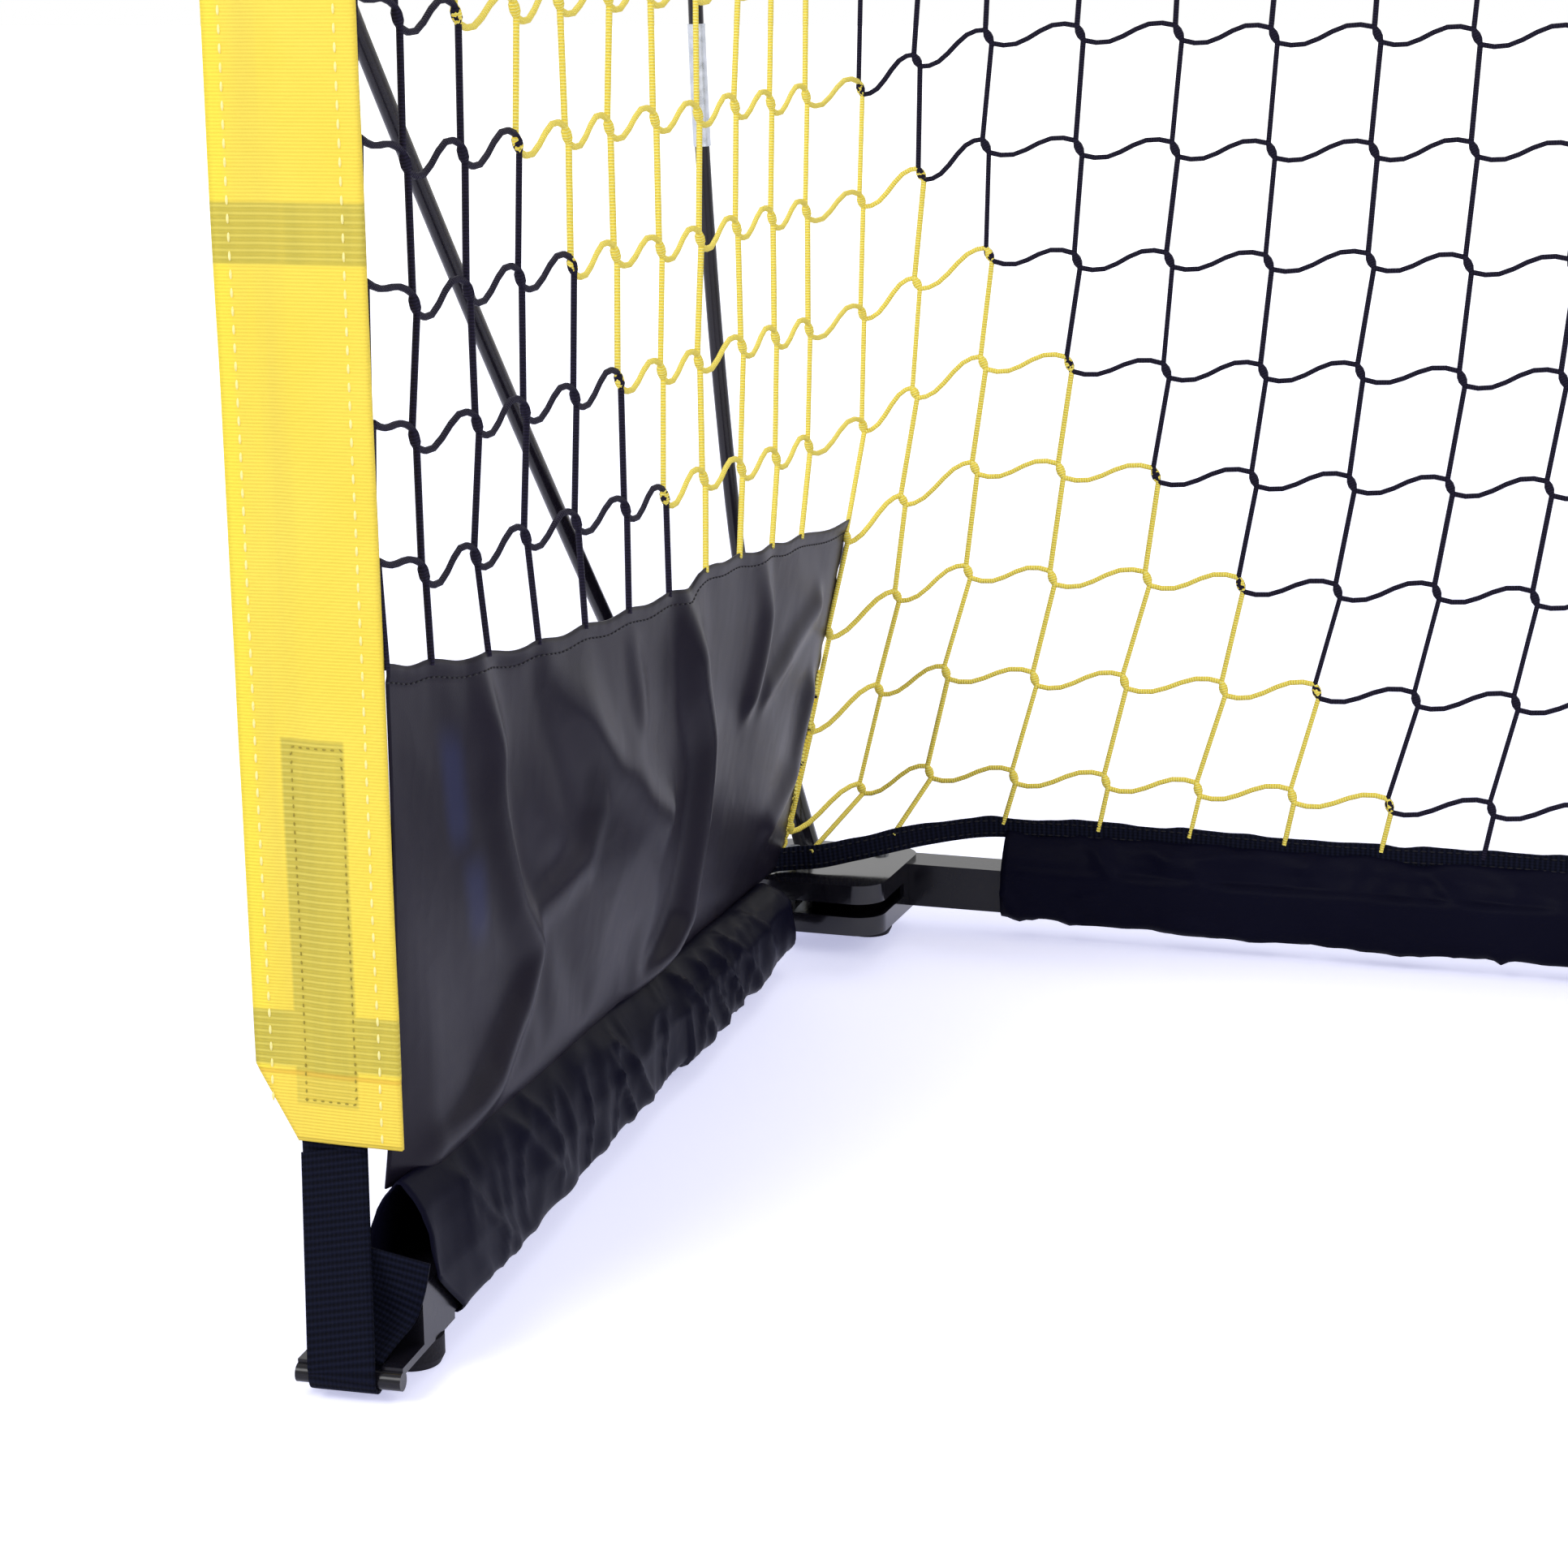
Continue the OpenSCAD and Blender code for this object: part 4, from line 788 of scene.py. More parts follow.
# Rows at the band: the first one's number and height, and their spacing up to the knee
FRONT_ROW, FRONT_ROW_Z, KNEE_ROW, TIGHT_ROW = 4, 302.4 * MM, 8, 48 * MM
SIDE_SAG = TOP_SAG = 14 * MM
WANDER, WANDER_WHEN_SEWN = 0.8 * MM, 0.2
STRIPE_START, STRIPE_MESHES = 10, 8
random_knots = np.random.default_rng(41).normal(0, 1, (LAST_COLUMN + 1, BACK_ROWS + SIDE_MESHES + 1, 3))


def back_x(n):
    """Place of the n-th column of the left half of the back net."""
    return NET_X + (CORNER_STEPS[n] if n <= CROWDED else CORNER_STEPS[-1] + (n - CROWDED) * OPEN_MESH)


def corner_drift(x, z):
    """How far a column of the back net leans to its corner near the foot."""
    pull = min(max((DRIFT_TOP - z) / DRIFT_DROP, 0), 1) ** 2.7
    return DRIFT * math.tanh(x / LEAN_REACH) * pull


def corner_drop(k):
    """How far the corner's knot of row k hangs below its row."""
    if k < len(CORNER_DROP):
        return CORNER_DROP[k]
    return CORNER_DROP[-1] * max(0, (BACK_ROWS - k) / (BACK_ROWS - len(CORNER_DROP) + 1))


def front_z(k):
    """Heights at which the rows are sewn to the band: tighter near the foot."""
    tight = FRONT_ROW_Z + (min(k, KNEE_ROW) - FRONT_ROW) * TIGHT_ROW
    return tight + (NET_Z - tight) * max(0, k - KNEE_ROW) / (BACK_ROWS - KNEE_ROW)


def on_rear_edge(z):
    """The point of the left skirt's rear edge at a height."""
    edge = skirt_grid[:, -1]
    return np.array([np.interp(z, edge[:, 2], edge[:, i]) for i in range(3)])


def knot_at(column, row):
    """Place of the knot of a column and a row, counted round the whole net."""
    c = column if column <= LAST_COLUMN / 2 else LAST_COLUMN - column
    mirror = 1 if c == column else -1
    k = min(row, BACK_ROWS)
    z = FIRST_ROW_Z + ROW_H * k
    if c < CORNER_1:
        share = side_share(c)
        x, y = SIDE_FRONT + (np.array([NET_X, CORNER_Y]) - SIDE_FRONT) * share
        sag = SIDE_SAG * (1 - share) if 0 < c and k < BACK_ROWS else 0
        z = front_z(k) * (1 - share) + (z - corner_drop(k)) * share - sag
    else:
        x, y = back_x(c - CORNER_1), REAR_Y if c > CORNER_1 else CORNER_Y
        if c == CORNER_1:
            z -= corner_drop(k)
        else:
            x += corner_drift(x, z)
            z -= corner_drop(k) * max(0, 1 - (c - CORNER_1) / 2)
    if c == CORNER_1 and row < SKIRT_KNOTS:
        place = on_rear_edge(z) + np.array([1.5, 0.5, 0]) * MM
        return place * [mirror, 1, 1]
    if row > BACK_ROWS:
        forward = (row - BACK_ROWS) / SIDE_MESHES
        narrow = 1 + (abs(SIDE_FRONT[0]) / abs(NET_X) - 1) * forward
        x, y = x * narrow, CORNER_Y + (SIDE_FRONT[1] - CORNER_Y) * forward
        z = NET_Z - TOP_SAG * math.sin(math.pi * forward) * math.cos(x / NET_X * math.pi / 2) ** 0.5
    wander = random_knots[column, row] * WANDER
    if row in (BACK_ROWS, BACK_ROWS + SIDE_MESHES) or c in (0, CORNER_1):
        wander = wander * WANDER_WHEN_SEWN
    return np.array([x * mirror, y, z]) + wander


def tone_of(s):
    """0 for yellow and 1 for black: the colours change every eight meshes."""
    return 0.0 if 0 < (s - STRIPE_START) % (2 * STRIPE_MESHES) < STRIPE_MESHES else 1.0


def knot_tone(s):
    """A half where both colours meet in the knot."""
    return 0.5 if (s - STRIPE_START) % STRIPE_MESHES == 0 else tone_of(s)


print("net plan:", LAST_COLUMN + 1, "columns, rows", ROW_H, "high, open meshes", OPEN_MESH, "wide")

# %% [markdown]
# ## The net's cords
#
# A mesh of loose edges guides the net, one edge for each cord between two knots and one
# for each knot. Its points carry the cord's tone, how far it bows, how much it swells in
# the middle and how many steps it needs. The tree turns each edge into a curve, bows it
# in a soft S, as a cord does that leaves one knot at the foot and enters the next at the
# head, and gives it a round section.


# %% Geometry tree of the cords
def start_tree(name, sizes):
    """A geometry tree with these named sizes, and the node that gives them."""
    tree = bpy.data.node_groups.new(name, "GeometryNodeTree")
    tree.interface.new_socket("Geometry", in_out="INPUT", socket_type="NodeSocketGeometry")
    for label, (kind, value) in sizes.items():
        socket = tree.interface.new_socket(label, in_out="INPUT", socket_type=kind)
        socket.default_value = value
    tree.interface.new_socket("Geometry", in_out="OUTPUT", socket_type="NodeSocketGeometry")
    return tree, add_node(tree, "NodeGroupInput")


def finish_tree(tree, geometry, material):
    """Ends a tree with real, smooth geometry of one material."""
    real = add_node(tree, "GeometryNodeRealizeInstances", {0: geometry})
    smooth = add_node(tree, "GeometryNodeSetShadeSmooth", {0: real.outputs[0]})
    named = add_node(tree, "GeometryNodeSetMaterial", {0: smooth.outputs[0], "Material": material})
    add_node(tree, "NodeGroupOutput", {0: named.outputs[0]})
    return tree


def read_attribute(tree, name, kind="FLOAT"):
    named = add_node(tree, "GeometryNodeInputNamedAttribute", {"Name": name}, data_type=kind)
    return named.outputs["Attribute"]


CORD_WIDTH = 2.7 * MM


def cord_tree():
    """Loose edges to bowed, round cords."""
    tree, given = start_tree("net cords", {
        "Cord Width": ("NodeSocketFloat", CORD_WIDTH), "Sides": ("NodeSocketInt", 6)})
    curves = add_node(tree, "GeometryNodeMeshToCurve", {0: given.outputs["Geometry"]})
    steps = add_node(
        tree, "FunctionNodeFloatToInt", {0: read_attribute(tree, "steps")}, rounding_mode="ROUND")
    finer_curves = add_node(tree, "GeometryNodeResampleCurve", {
        "Curve": curves.outputs[0], "Count": steps.outputs[0]})
    spline = add_node(tree, "GeometryNodeSplineParameter")
    turn = combine(tree, spline.outputs["Factor"], 2 * math.pi, "MULTIPLY")
    wave_node = add_node(tree, "ShaderNodeMath", {0: turn}, operation="SINE")
    bow = add_node(tree, "ShaderNodeVectorMath", {
        0: read_attribute(tree, "bow", "FLOAT_VECTOR"), "Scale": wave_node.outputs[0]}, operation="SCALE")
    bowed = add_node(tree, "GeometryNodeSetPosition", {
        "Geometry": finer_curves.outputs[0], "Offset": bow.outputs[0]})
    measured = add_node(tree, "GeometryNodeStoreNamedAttribute", {
        "Geometry": bowed.outputs[0], "Name": "along", "Value": spline.outputs["Length"]},
        data_type="FLOAT", domain="POINT")
    half_turn = combine(tree, spline.outputs["Factor"], math.pi, "MULTIPLY")
    middle = add_node(tree, "ShaderNodeMath", {0: half_turn}, operation="SINE")
    swell = combine(tree, middle.outputs[0], read_attribute(tree, "swell"), "MULTIPLY")
    swell = combine(tree, swell, 1.0, "ADD")
    radius = combine(tree, given.outputs["Cord Width"], 0.5, "MULTIPLY")
    ring = add_node(tree, "GeometryNodeCurvePrimitiveCircle", {
        "Resolution": given.outputs["Sides"], "Radius": radius})
    cords = add_node(tree, "GeometryNodeCurveToMesh", {
        "Curve": measured.outputs[0], "Profile Curve": ring.outputs[0], "Scale": swell, "Fill Caps": True})
    return finish_tree(tree, cords.outputs[0], CORD)


def plain_result(guide, tree, name, values):
    """The tree's result on a guide as a plain mesh at the origin."""
    grower = guide.modifiers.new("grow", "NODES")
    grower.node_group = tree
    for item in tree.interface.items_tree:
        if item.item_type == "SOCKET" and item.in_out == "INPUT" and item.name in values:
            grower[item.identifier] = values[item.name]
    shown = guide.evaluated_get(bpy.context.evaluated_depsgraph_get())
    mesh = bpy.data.meshes.new_from_object(shown)
    mesh.name = name
    bpy.data.objects.remove(guide)
    return new_object(name, mesh)


class CordGuide:
    """Loose edges with what the tree needs to know about each cord."""

    def __init__(self):
        self.points, self.tone, self.bow, self.swell, self.steps = [], [], [], [], []

    def add(self, a, b, tone, bow=(0, 0, 0), swell=0.0, steps=5):
        """One cord from a to b."""
        self.points += [tuple(a), tuple(b)]
        self.tone += [tone] * 2
        self.bow += [tuple(bow)] * 2
        self.swell += [swell] * 2
        self.steps += [float(steps)] * 2

    def build(self, name, width=CORD_WIDTH, sides=6):
        """The piece that the tree makes of all cords."""
        mesh = bpy.data.meshes.new("guide")
        mesh.from_pydata(self.points, [(i, i + 1) for i in range(0, len(self.points), 2)], [])
        for label in ("tone", "swell", "steps"):
            set_attribute(mesh, label, "FLOAT", getattr(self, label))
        set_attribute(mesh, "bow", "FLOAT_VECTOR", self.bow)
        guide = new_object("guide", mesh)
        return plain_result(guide, CORD_TREE, name, {"Cord Width": width, "Sides": sides})


CORD_TREE = cord_tree()
print("cord tree:", len(CORD_TREE.nodes), "nodes, cord", CORD_WIDTH, "wide")

# %% [markdown]
# ## Three nets from one plan
#
# Each net takes its own cords from the plan: the sides from a band to a corner column,
# the back with both corner columns, and the top. A knot is a short slanted spindle. The
# cords from above and from the left enter at its head, and the others leave at its foot.

# %% Nets
KNOT_LEAN = np.array([1.6 * MM, 3.4 * MM])
BACK_HUMP, SIDE_HUMP = 2.7 * MM, 3.6 * MM
KNOT_SWELL = 0.8
# How far the cords below the first row lean towards the corner, by column from it
TAIL_LEAN = [0, 14 * MM, 14 * MM, 7 * MM, 5 * MM]


def knot_ends(column, row):
    """Head and foot of a knot's spindle, in the plane of its net."""
    place = knot_at(column, row)
    right = knot_at(min(column + 1, LAST_COLUMN), row) - knot_at(max(column - 1, 0), row)
    above = knot_at(column, min(row + 1, BACK_ROWS + SIDE_MESHES)) - knot_at(column, max(row - 1, 0))
    right, above = right / np.linalg.norm(right), above / np.linalg.norm(above)
    lean = -right * KNOT_LEAN[0] + above * KNOT_LEAN[1]
    return place + lean, place - lean


def on_skirt(column):
    """The point of a skirt's top edge where a column of the side net is sewn in."""
    count = skirt_grid.shape[1]
    share = side_share(min(column, LAST_COLUMN - column)) * (count - 1)
    place = np.array([np.interp(share, np.arange(count), skirt_grid[-2, :, i]) for i in range(3)])
    return place * [1 if column <= LAST_COLUMN / 2 else -1, 1, 1]


# The hem webbing's turns at the corner: across and deep from the bolt, and height, in mm
HEM_TURNS = [
    (-7, -34, 44.5), (-2, -23, 44.6), (7, -17.5, 44.8), (20, -14, 46), (36, -3, 48.5),
    (60, 14, 52.5), (90, 27, 56)]
HEM_SPREAD = 2 * MM
# The webbing is at its wider from this distance off the middle, over this run
UNROLL_FROM, UNROLL_RUN = 780 * MM, 70 * MM
HEM_TOP_Z = corner("hem_strap")[1][2]


def hem_widening(x):
    """How far the webbing at a place has unrolled to its whole width, 0 to 1."""
    return np.clip((np.abs(x) - UNROLL_FROM) / UNROLL_RUN, 0, 1)


def on_hem(column):
    """The point of the back net's hem where a column of the back net is sewn in."""
    inward = min(column, LAST_COLUMN - column) - CORNER_1
    if inward == 0:
        return knot_at(column, 0) - [0, 0, 5 * MM]
    foot = knot_ends(column, 0)[1]
    lean = TAIL_LEAN[min(inward, len(TAIL_LEAN) - 1)] * math.tanh(abs(foot[0]) / LEAN_REACH)
    x = foot[0] + math.copysign(lean, foot[0])
    away, depth, height = (np.array(row) * MM for row in zip(*HEM_TURNS))
    y = pivot[1] + np.interp(abs(pivot[0]) - abs(x), away, depth, right=REAR_Y - pivot[1])
    z = np.interp(abs(pivot[0]) - abs(x), away, height, right=HEM_TOP_Z - 6 * MM)
    return np.array([x, y, z + 2 * MM + HEM_SPREAD / 2 * hem_widening(x)])


def vertical_cords(guide, columns, rows, edge_at, ceiling=math.inf):
    """Cords up each column, from its lower edge and no higher than the ceiling."""
    for c in columns:
        edge = edge_at(c)
        for k in rows:
            low, high = knot_ends(c, k)[0], knot_ends(c, k + 1)[1]
            if k < BACK_ROWS:
                if high[2] <= edge[2] + 2 * MM:
                    continue
                if low[2] < edge[2]:
                    low = edge
                high = low + (high - low) * min(1, (ceiling - low[2]) / (high[2] - low[2]))
            guide.add(low, high, tone_of(c + k + 0.5), steps=4)


def horizontal_cords(guide, columns, rows, edge_at, hump=BACK_HUMP):
    """Cords along each row that bow up and then down by the hump."""
    for c in columns:
        for k in rows:
            left, right = knot_ends(c, k)[1], knot_ends(c + 1, k)[0]
            if min(left[2] - edge_at(c)[2], right[2] - edge_at(c + 1)[2]) < 0 and k < BACK_ROWS:
                continue
            above = knot_at(c, k + 1) - knot_at(c, k) if k < BACK_ROWS + SIDE_MESHES else np.zeros(3)
            slack = hump * (0.35 if c in (0, LAST_COLUMN - 1) else 1)
            bow = -above / max(np.linalg.norm(above), 1e-9) * slack
            guide.add(left, right, tone_of(c + k + 0.5), bow=bow, steps=8)


def knots(guide, columns, rows, edge_at):
    """A spindle at each knot above the lower edge."""
    for c in columns:
        for k in rows:
            head, foot = knot_ends(c, k)
            if foot[2] < edge_at(c)[2] and k < BACK_ROWS:
                continue
            guide.add(head, foot, knot_tone(c + k), swell=KNOT_SWELL, steps=4)


side_guide, far_guide, back_guide, top_guide = CordGuide(), CordGuide(), CordGuide(), CordGuide()
for guide, columns in ((side_guide, range(0, CORNER_1)), (far_guide, range(CORNER_2, LAST_COLUMN))):
    inner = [c for c in range(columns[0], columns[-1] + 2) if c not in (CORNER_1, CORNER_2)]
    free = [c for c in inner if c not in (0, LAST_COLUMN)]
    vertical_cords(guide, inner, range(0, BACK_ROWS), on_skirt)
    horizontal_cords(guide, columns, range(0, BACK_ROWS + 1), on_skirt, hump=SIDE_HUMP)
    knots(guide, free, range(0, BACK_ROWS + 1), on_skirt)

back_columns = range(CORNER_1, CORNER_2 + 1)
# The top row is sewn inside the rear edge's webbing, so its cords end a little above its foot
TOP_HEM_FOOT = corner("top_hem_strap")[0][2] + 4 * MM
vertical_cords(back_guide, back_columns, range(0, BACK_ROWS), on_hem, TOP_HEM_FOOT)
for c in range(CORNER_1 + 1, CORNER_2):
    back_guide.add(on_hem(c), knot_ends(c, 0)[1], tone_of(c - 0.5), steps=3)
horizontal_cords(back_guide, range(CORNER_1, CORNER_2), range(0, BACK_ROWS), on_hem)
knots(back_guide, back_columns, range(0, BACK_ROWS), on_hem)

front_row = BACK_ROWS + SIDE_MESHES
vertical_cords(top_guide, range(CORNER_1 + 1, CORNER_2), range(BACK_ROWS, front_row), on_hem)
horizontal_cords(top_guide, range(CORNER_1, CORNER_2), range(BACK_ROWS + 1, front_row), on_hem)
knots(top_guide, range(CORNER_1 + 1, CORNER_2), range(BACK_ROWS + 1, front_row), on_hem)

nets = {
    "side_net_left": side_guide.build("side_net_cords_left"),
    "side_net_right": far_guide.build("side_net_cords_right"),
    "back_net": back_guide.build("back_net_cords"),
    "top_net": top_guide.build("top_net_cords"),
}
print("net cords:", {name: len(net.data.polygons) for name, net in nets.items()})

# %% [markdown]
# ## Yellow bands
#
# A post band is a double layer of tape. Its foot is folded up into a hem, its lower
# outer corner is cut off on the slant, and it is pulled tight between the pole's tip and
# the strap, so it only ripples a little. The crossbar band is the same tape turned flat.

# %% Bands
BAND_T = 2.0 * MM
CORNER_CUT = np.array([16 * MM, 28 * MM])
HEM_STEP = 0.7 * MM


def post_band_grid():
    """The left post band's middle surface and its UV map in metres."""
    heights = np.concatenate([
        np.linspace(BAND_Z, BAND_Z + CORNER_CUT[1], 12),
        np.linspace(BAND_Z + CORNER_CUT[1], TOP_Z, 214)[1:]])
    spread = np.linspace(0, 1, 25)
    z = heights[:, None] + 0 * spread[None, :]
    rise = np.clip((z - BAND_Z) / CORNER_CUT[1], 0, 1)
    left = MOUTH_X + CORNER_CUT[0] * (1 - rise)
    x = left + (BAND_INNER - left) * spread[None, :]
    ripple = 0.55 * noise(z / (70 * MM), x / (40 * MM), 3) + 0.35 * noise(z / (26 * MM), x / (18 * MM), 4)
    # The hem is thicker, so its folded layer stands forward by half a step
    hem = np.clip((BAND_Z + HEM_TOP - z) / (1.2 * MM) + 0.5, 0, 1)
    dent = 1.1 * np.exp(-((x - MOUTH_X - 19 * MM) / (7 * MM)) ** 2) * np.clip((z - BAND_Z) / (60 * MM), 0, 1)
    y = BAND_Y + (ripple * 0.8 + dent) * MM - hem * HEM_STEP * 0.5
    return np.stack([x, y, z], axis=2), np.stack([x - MOUTH_X, z - BAND_Z], axis=2)


def crossbar_grid():
    """The crossbar band's middle surface and its UV map, which starts past the post's patches."""
    x = np.linspace(bar_low[0], bar_high[0], 320)[None, :]
    z = np.linspace(bar_low[2], bar_high[2], 17)[:, None]
    x, z = x + 0 * z, z + 0 * x
    broad = noise(x / (80 * MM) + 9, z / (40 * MM), 6)
    ripple = 0.6 * broad + 0.3 * noise(x / (24 * MM) + 9, z / (20 * MM), 7)
    y = BAND_Y + ripple * MM * 0.8
    return np.stack([x, y, z], axis=2), np.stack([z - bar_low[2], x + 2.0], axis=2)


bar_low, bar_high = corner("crossbar_band")
band_grid, band_uv = post_band_grid()
bands = {
    "left": shell("yellow_post_band_left", band_grid, BAND_T, YELLOW_TAPE, band_uv),
    "right": shell("yellow_post_band_right", mirrored(band_grid), BAND_T, YELLOW_TAPE, band_uv[:, ::-1]),
}
bar_grid, bar_uv = crossbar_grid()
crossbar = shell("yellow_crossbar_band", bar_grid, BAND_T, YELLOW_TAPE, bar_uv)
print("bands:", BAND_W, "wide,", TOP_Z - BAND_Z, "and", bar_grid[0, -1, 0] - bar_grid[0, 0, 0], "long")

# %% [markdown]
# ## Sleeves
#
# A sleeve is a strip of nylon wrapped round a base tube and sewn to itself in a ridge
# on top, where the net or the skirt is sewn in. It was cut longer and wider than it
# needs to be, so it crumples. Its wrinkles are drawn in and stand outwards only, and the
# solver then gathers the rear sleeves a little more. No point may sink into the tube.

# %% Sleeves
SLEEVE_HALF = TUBE_HALF + 2 * MM
SLEEVE_LOW = TUBE_LOW - 1.4 * MM
SLEEVE_T = 0.7 * MM


def sleeve_section(ridge, count):
    """One round of a sleeve from under the tube, over the ridge and back."""
    half, rise = SLEEVE_HALF - 0.4 * MM, ridge - TUBE_TOP
    points = np.array([
        [0, SLEEVE_LOW], [half - 2 * MM, SLEEVE_LOW], [half, SLEEVE_LOW + 3 * MM],
        [half, (TUBE_LOW + TUBE_TOP) / 2], [half, TUBE_TOP - 1 * MM],
        [half * 0.72, TUBE_TOP + rise * 0.42], [half * 0.34, TUBE_TOP + rise * 0.8], [0.9 * MM, ridge]])
    points = np.concatenate([points, (points * [-1, 1])[::-1]])
    length = run(points)
    steps = np.linspace(0, length[-1], count)
    return np.stack([np.interp(steps, length, points[:, i]) for i in (0, 1)], axis=1)


def sleeve_grid(place, start, stop, ridge_start, ridge_stop, rows, cols, seed, scallop=0.0, slant=0.0):
    """A sleeve from start to stop. Its ridge dips by up to scallop, its mouth leans out by slant."""
    grid = np.empty((rows, cols, 3))
    for i in range(rows):
        share = i / (rows - 1)
        reached = (stop - start) * share
        ridge = ridge_start + (ridge_stop - ridge_start) * share
        ridge -= 0.8 * MM * (1 + noise(np.array(share * 22.0), np.array(0.5), seed))
        ridge -= scallop * abs(noise(np.array(reached / (15 * MM)), np.array(3.5), seed))
        for j, (x, z) in enumerate(sleeve_section(ridge, cols)):
            lean = slant * min(max((z - TUBE_LOW) / (TUBE_TOP - TUBE_LOW), 0), 1) * share ** 6
            grid[i, j] = place(x, start + reached + lean, z)
    return grid


def crumpled(grid, depth, seed):
    """The sleeve with sharp slanting wrinkles, which stand outwards only."""
    rows, cols = grid.shape[:2]
    along = np.arange(rows)[:, None] * np.linalg.norm(grid[1, 0] - grid[0, 0]) / MM
    around = np.arange(cols)[None, :] * np.linalg.norm(grid[0, 1] - grid[0, 0]) / MM
    from_ridge = np.abs(around - around.max() / 2)
    long_ones = 1 - np.abs(noise((along + 0.9 * from_ridge) / 24, (from_ridge - 0.3 * along) / 52, seed))
    short_ones = 1 - np.abs(noise((along - 0.5 * from_ridge) / 13, from_ridge / 26, seed + 1))
    height = depth * (long_ones ** 3 + 0.45 * short_ones ** 3)
    height = height * np.clip(from_ridge / 9, 0, 1) * np.clip((around.max() / 2 - from_ridge) / 14, 0.15, 1)
    normals = grid_normals(grid)
    outward = np.sign(((grid - grid.mean(axis=1, keepdims=True)) * normals).sum())
    return grid + normals * (outward * height)[..., None]


def gather(grid, axis, slack):
    """The sleeve after its slack has gathered, pinned at its ends, ridge and underside."""
    rows, cols = grid.shape[:2]
    from_middle = ((grid - grid.mean(axis=(0, 1))) @ axis)[..., None]
    pins = np.zeros((rows, cols))
    pins[[0, -1]] = 1
    pins[:, [0, cols // 2 - 1, cols // 2, -1]] = 1
    return drape(grid, grid + axis * from_middle * slack, pins, frames=12, cap=3 * MM, gravity=0.2, bend=1.0)


def keep_off_tube(grid, centre, side_axis, gap=1.6 * MM):
    """Moves points that sank into the tube out of it, by the shortest way."""
    across = (grid - centre) @ side_axis
    beside = TUBE_HALF + gap - np.abs(across)
    above = TUBE_TOP + gap - grid[..., 2]
    below = grid[..., 2] - (TUBE_LOW - 0.8 * MM)
    sunk = (beside > 0) & (above > 0) & (below > 0)
    sideways = sunk & (beside <= above) & (beside <= below)
    upwards = sunk & ~sideways & (above <= below)
    moved = grid + (np.sign(across) * np.where(sideways, beside, 0))[..., None] * side_axis
    moved[..., 2] += np.where(upwards, above, 0) - np.where(sunk & ~sideways & ~upwards, below, 0)
    return moved


LEG_START, LEG_STOP = 62 * MM, LEG_L - 34 * MM
leg_side = np.array([math.cos(TOE), math.sin(TOE), 0.0])
LAP_AT, LAP = 183 * MM, 2.4 * MM
GROUND_GAP = 1.5 * MM
LEG_RIDGE_START, LEG_RIDGE_STOP = 44 * MM, 72 * MM
leg_grid = sleeve_grid(
    leg_point, LEG_START, LEG_STOP, LEG_RIDGE_START, LEG_RIDGE_STOP,
    rows=170, cols=72, seed=11, slant=27 * MM)
rear_low, rear_high = corner("rear_sleeve_left")
REAR_SLEEVE_TOP = rear_high[2] + 5 * MM
rear_grid = sleeve_grid(
    lambda x, along, z: np.array([along, REAR_Y + x, z]), rear_high[0], rear_low[0],
    REAR_SLEEVE_TOP, REAR_SLEEVE_TOP, rows=230, cols=64, seed=12, scallop=4 * MM)
# The sleeves as cut: the smooth cover's girth and length, with ease for the crumples
leg_grid = crumpled(leg_grid, 3.0 * MM, 51)
rear_grid = crumpled(rear_grid, 2.6 * MM, 57)
rear_grid = gather(rear_grid, np.array([1.0, 0, 0]), 0.05)
leg_grid = keep_off_tube(leg_grid, leg_point(0, 0, 0), leg_side)
rear_grid = keep_off_tube(rear_grid, np.array([0, REAR_Y, 0]), np.array([0, 1.0, 0]))
# The rear third of the leg's sleeve laps over the rest, so it stands out by a fold
lap = np.clip((LAP_AT - np.linspace(0, LEG_STOP - LEG_START, len(leg_grid))) / (3 * MM), 0, 1)[:, None]
lap_here = LAP * lap * np.clip((40 * MM - leg_grid[..., 2]) / (20 * MM), 0, 1)
leg_grid = leg_grid + grid_normals(leg_grid) * lap_here[..., None]
leg_grid[..., 2] = np.maximum(leg_grid[..., 2], GROUND_GAP)
leg_sleeves, rear_sleeves = {}, {}
for side in SIDES:
    leg_sleeves[side] = shell("leg_sleeve_cloth_" + side, on_side(leg_grid, side), SLEEVE_T, NYLON)
    rear_sleeves[side] = shell("rear_sleeve_cloth_" + side, on_side(rear_grid, side), SLEEVE_T, NYLON)
print("sleeves, hung: leg", grid_size(leg_grid), "rear", grid_size(rear_grid))

# %% [markdown]
# ## Webbing
#
# Webbing is modelled directly, as a flat ribbon along a path: the solver would smooth it
# away. The strap comes off the back of the band, goes under the hook's bar and lies back
# on the leg's end.


# %% Ribbons of webbing
def smooth_path(points, step):
    """A smooth curve through points, in even steps."""
    curve = finer(np.array(points)[:, None, :].repeat(2, axis=1), 8)[:, 0]
    length = run(curve)
    even = np.linspace(0, length[-1], max(2, int(length[-1] / step) + 1))
    return np.stack([np.interp(even, length, curve[:, i]) for i in range(3)], axis=1)


def ribbon_grid(path, across, width, cols):
    """Rows along the path and columns square to it, in the plane of path and across."""
    spread = np.linspace(-0.5, 0.5, cols)
    tangent = np.gradient(path, axis=0)
    tangent = tangent / np.linalg.norm(tangent, axis=1, keepdims=True)
    across = across - (across * tangent).sum(axis=1, keepdims=True) * tangent
    across = across / np.linalg.norm(across, axis=-1, keepdims=True)
    width = np.broadcast_to(np.asarray(width, float).reshape(-1, 1, 1), (len(path), 1, 1))
    return path[:, None, :] + (spread[None, :, None] * width) * across[:, None, :]


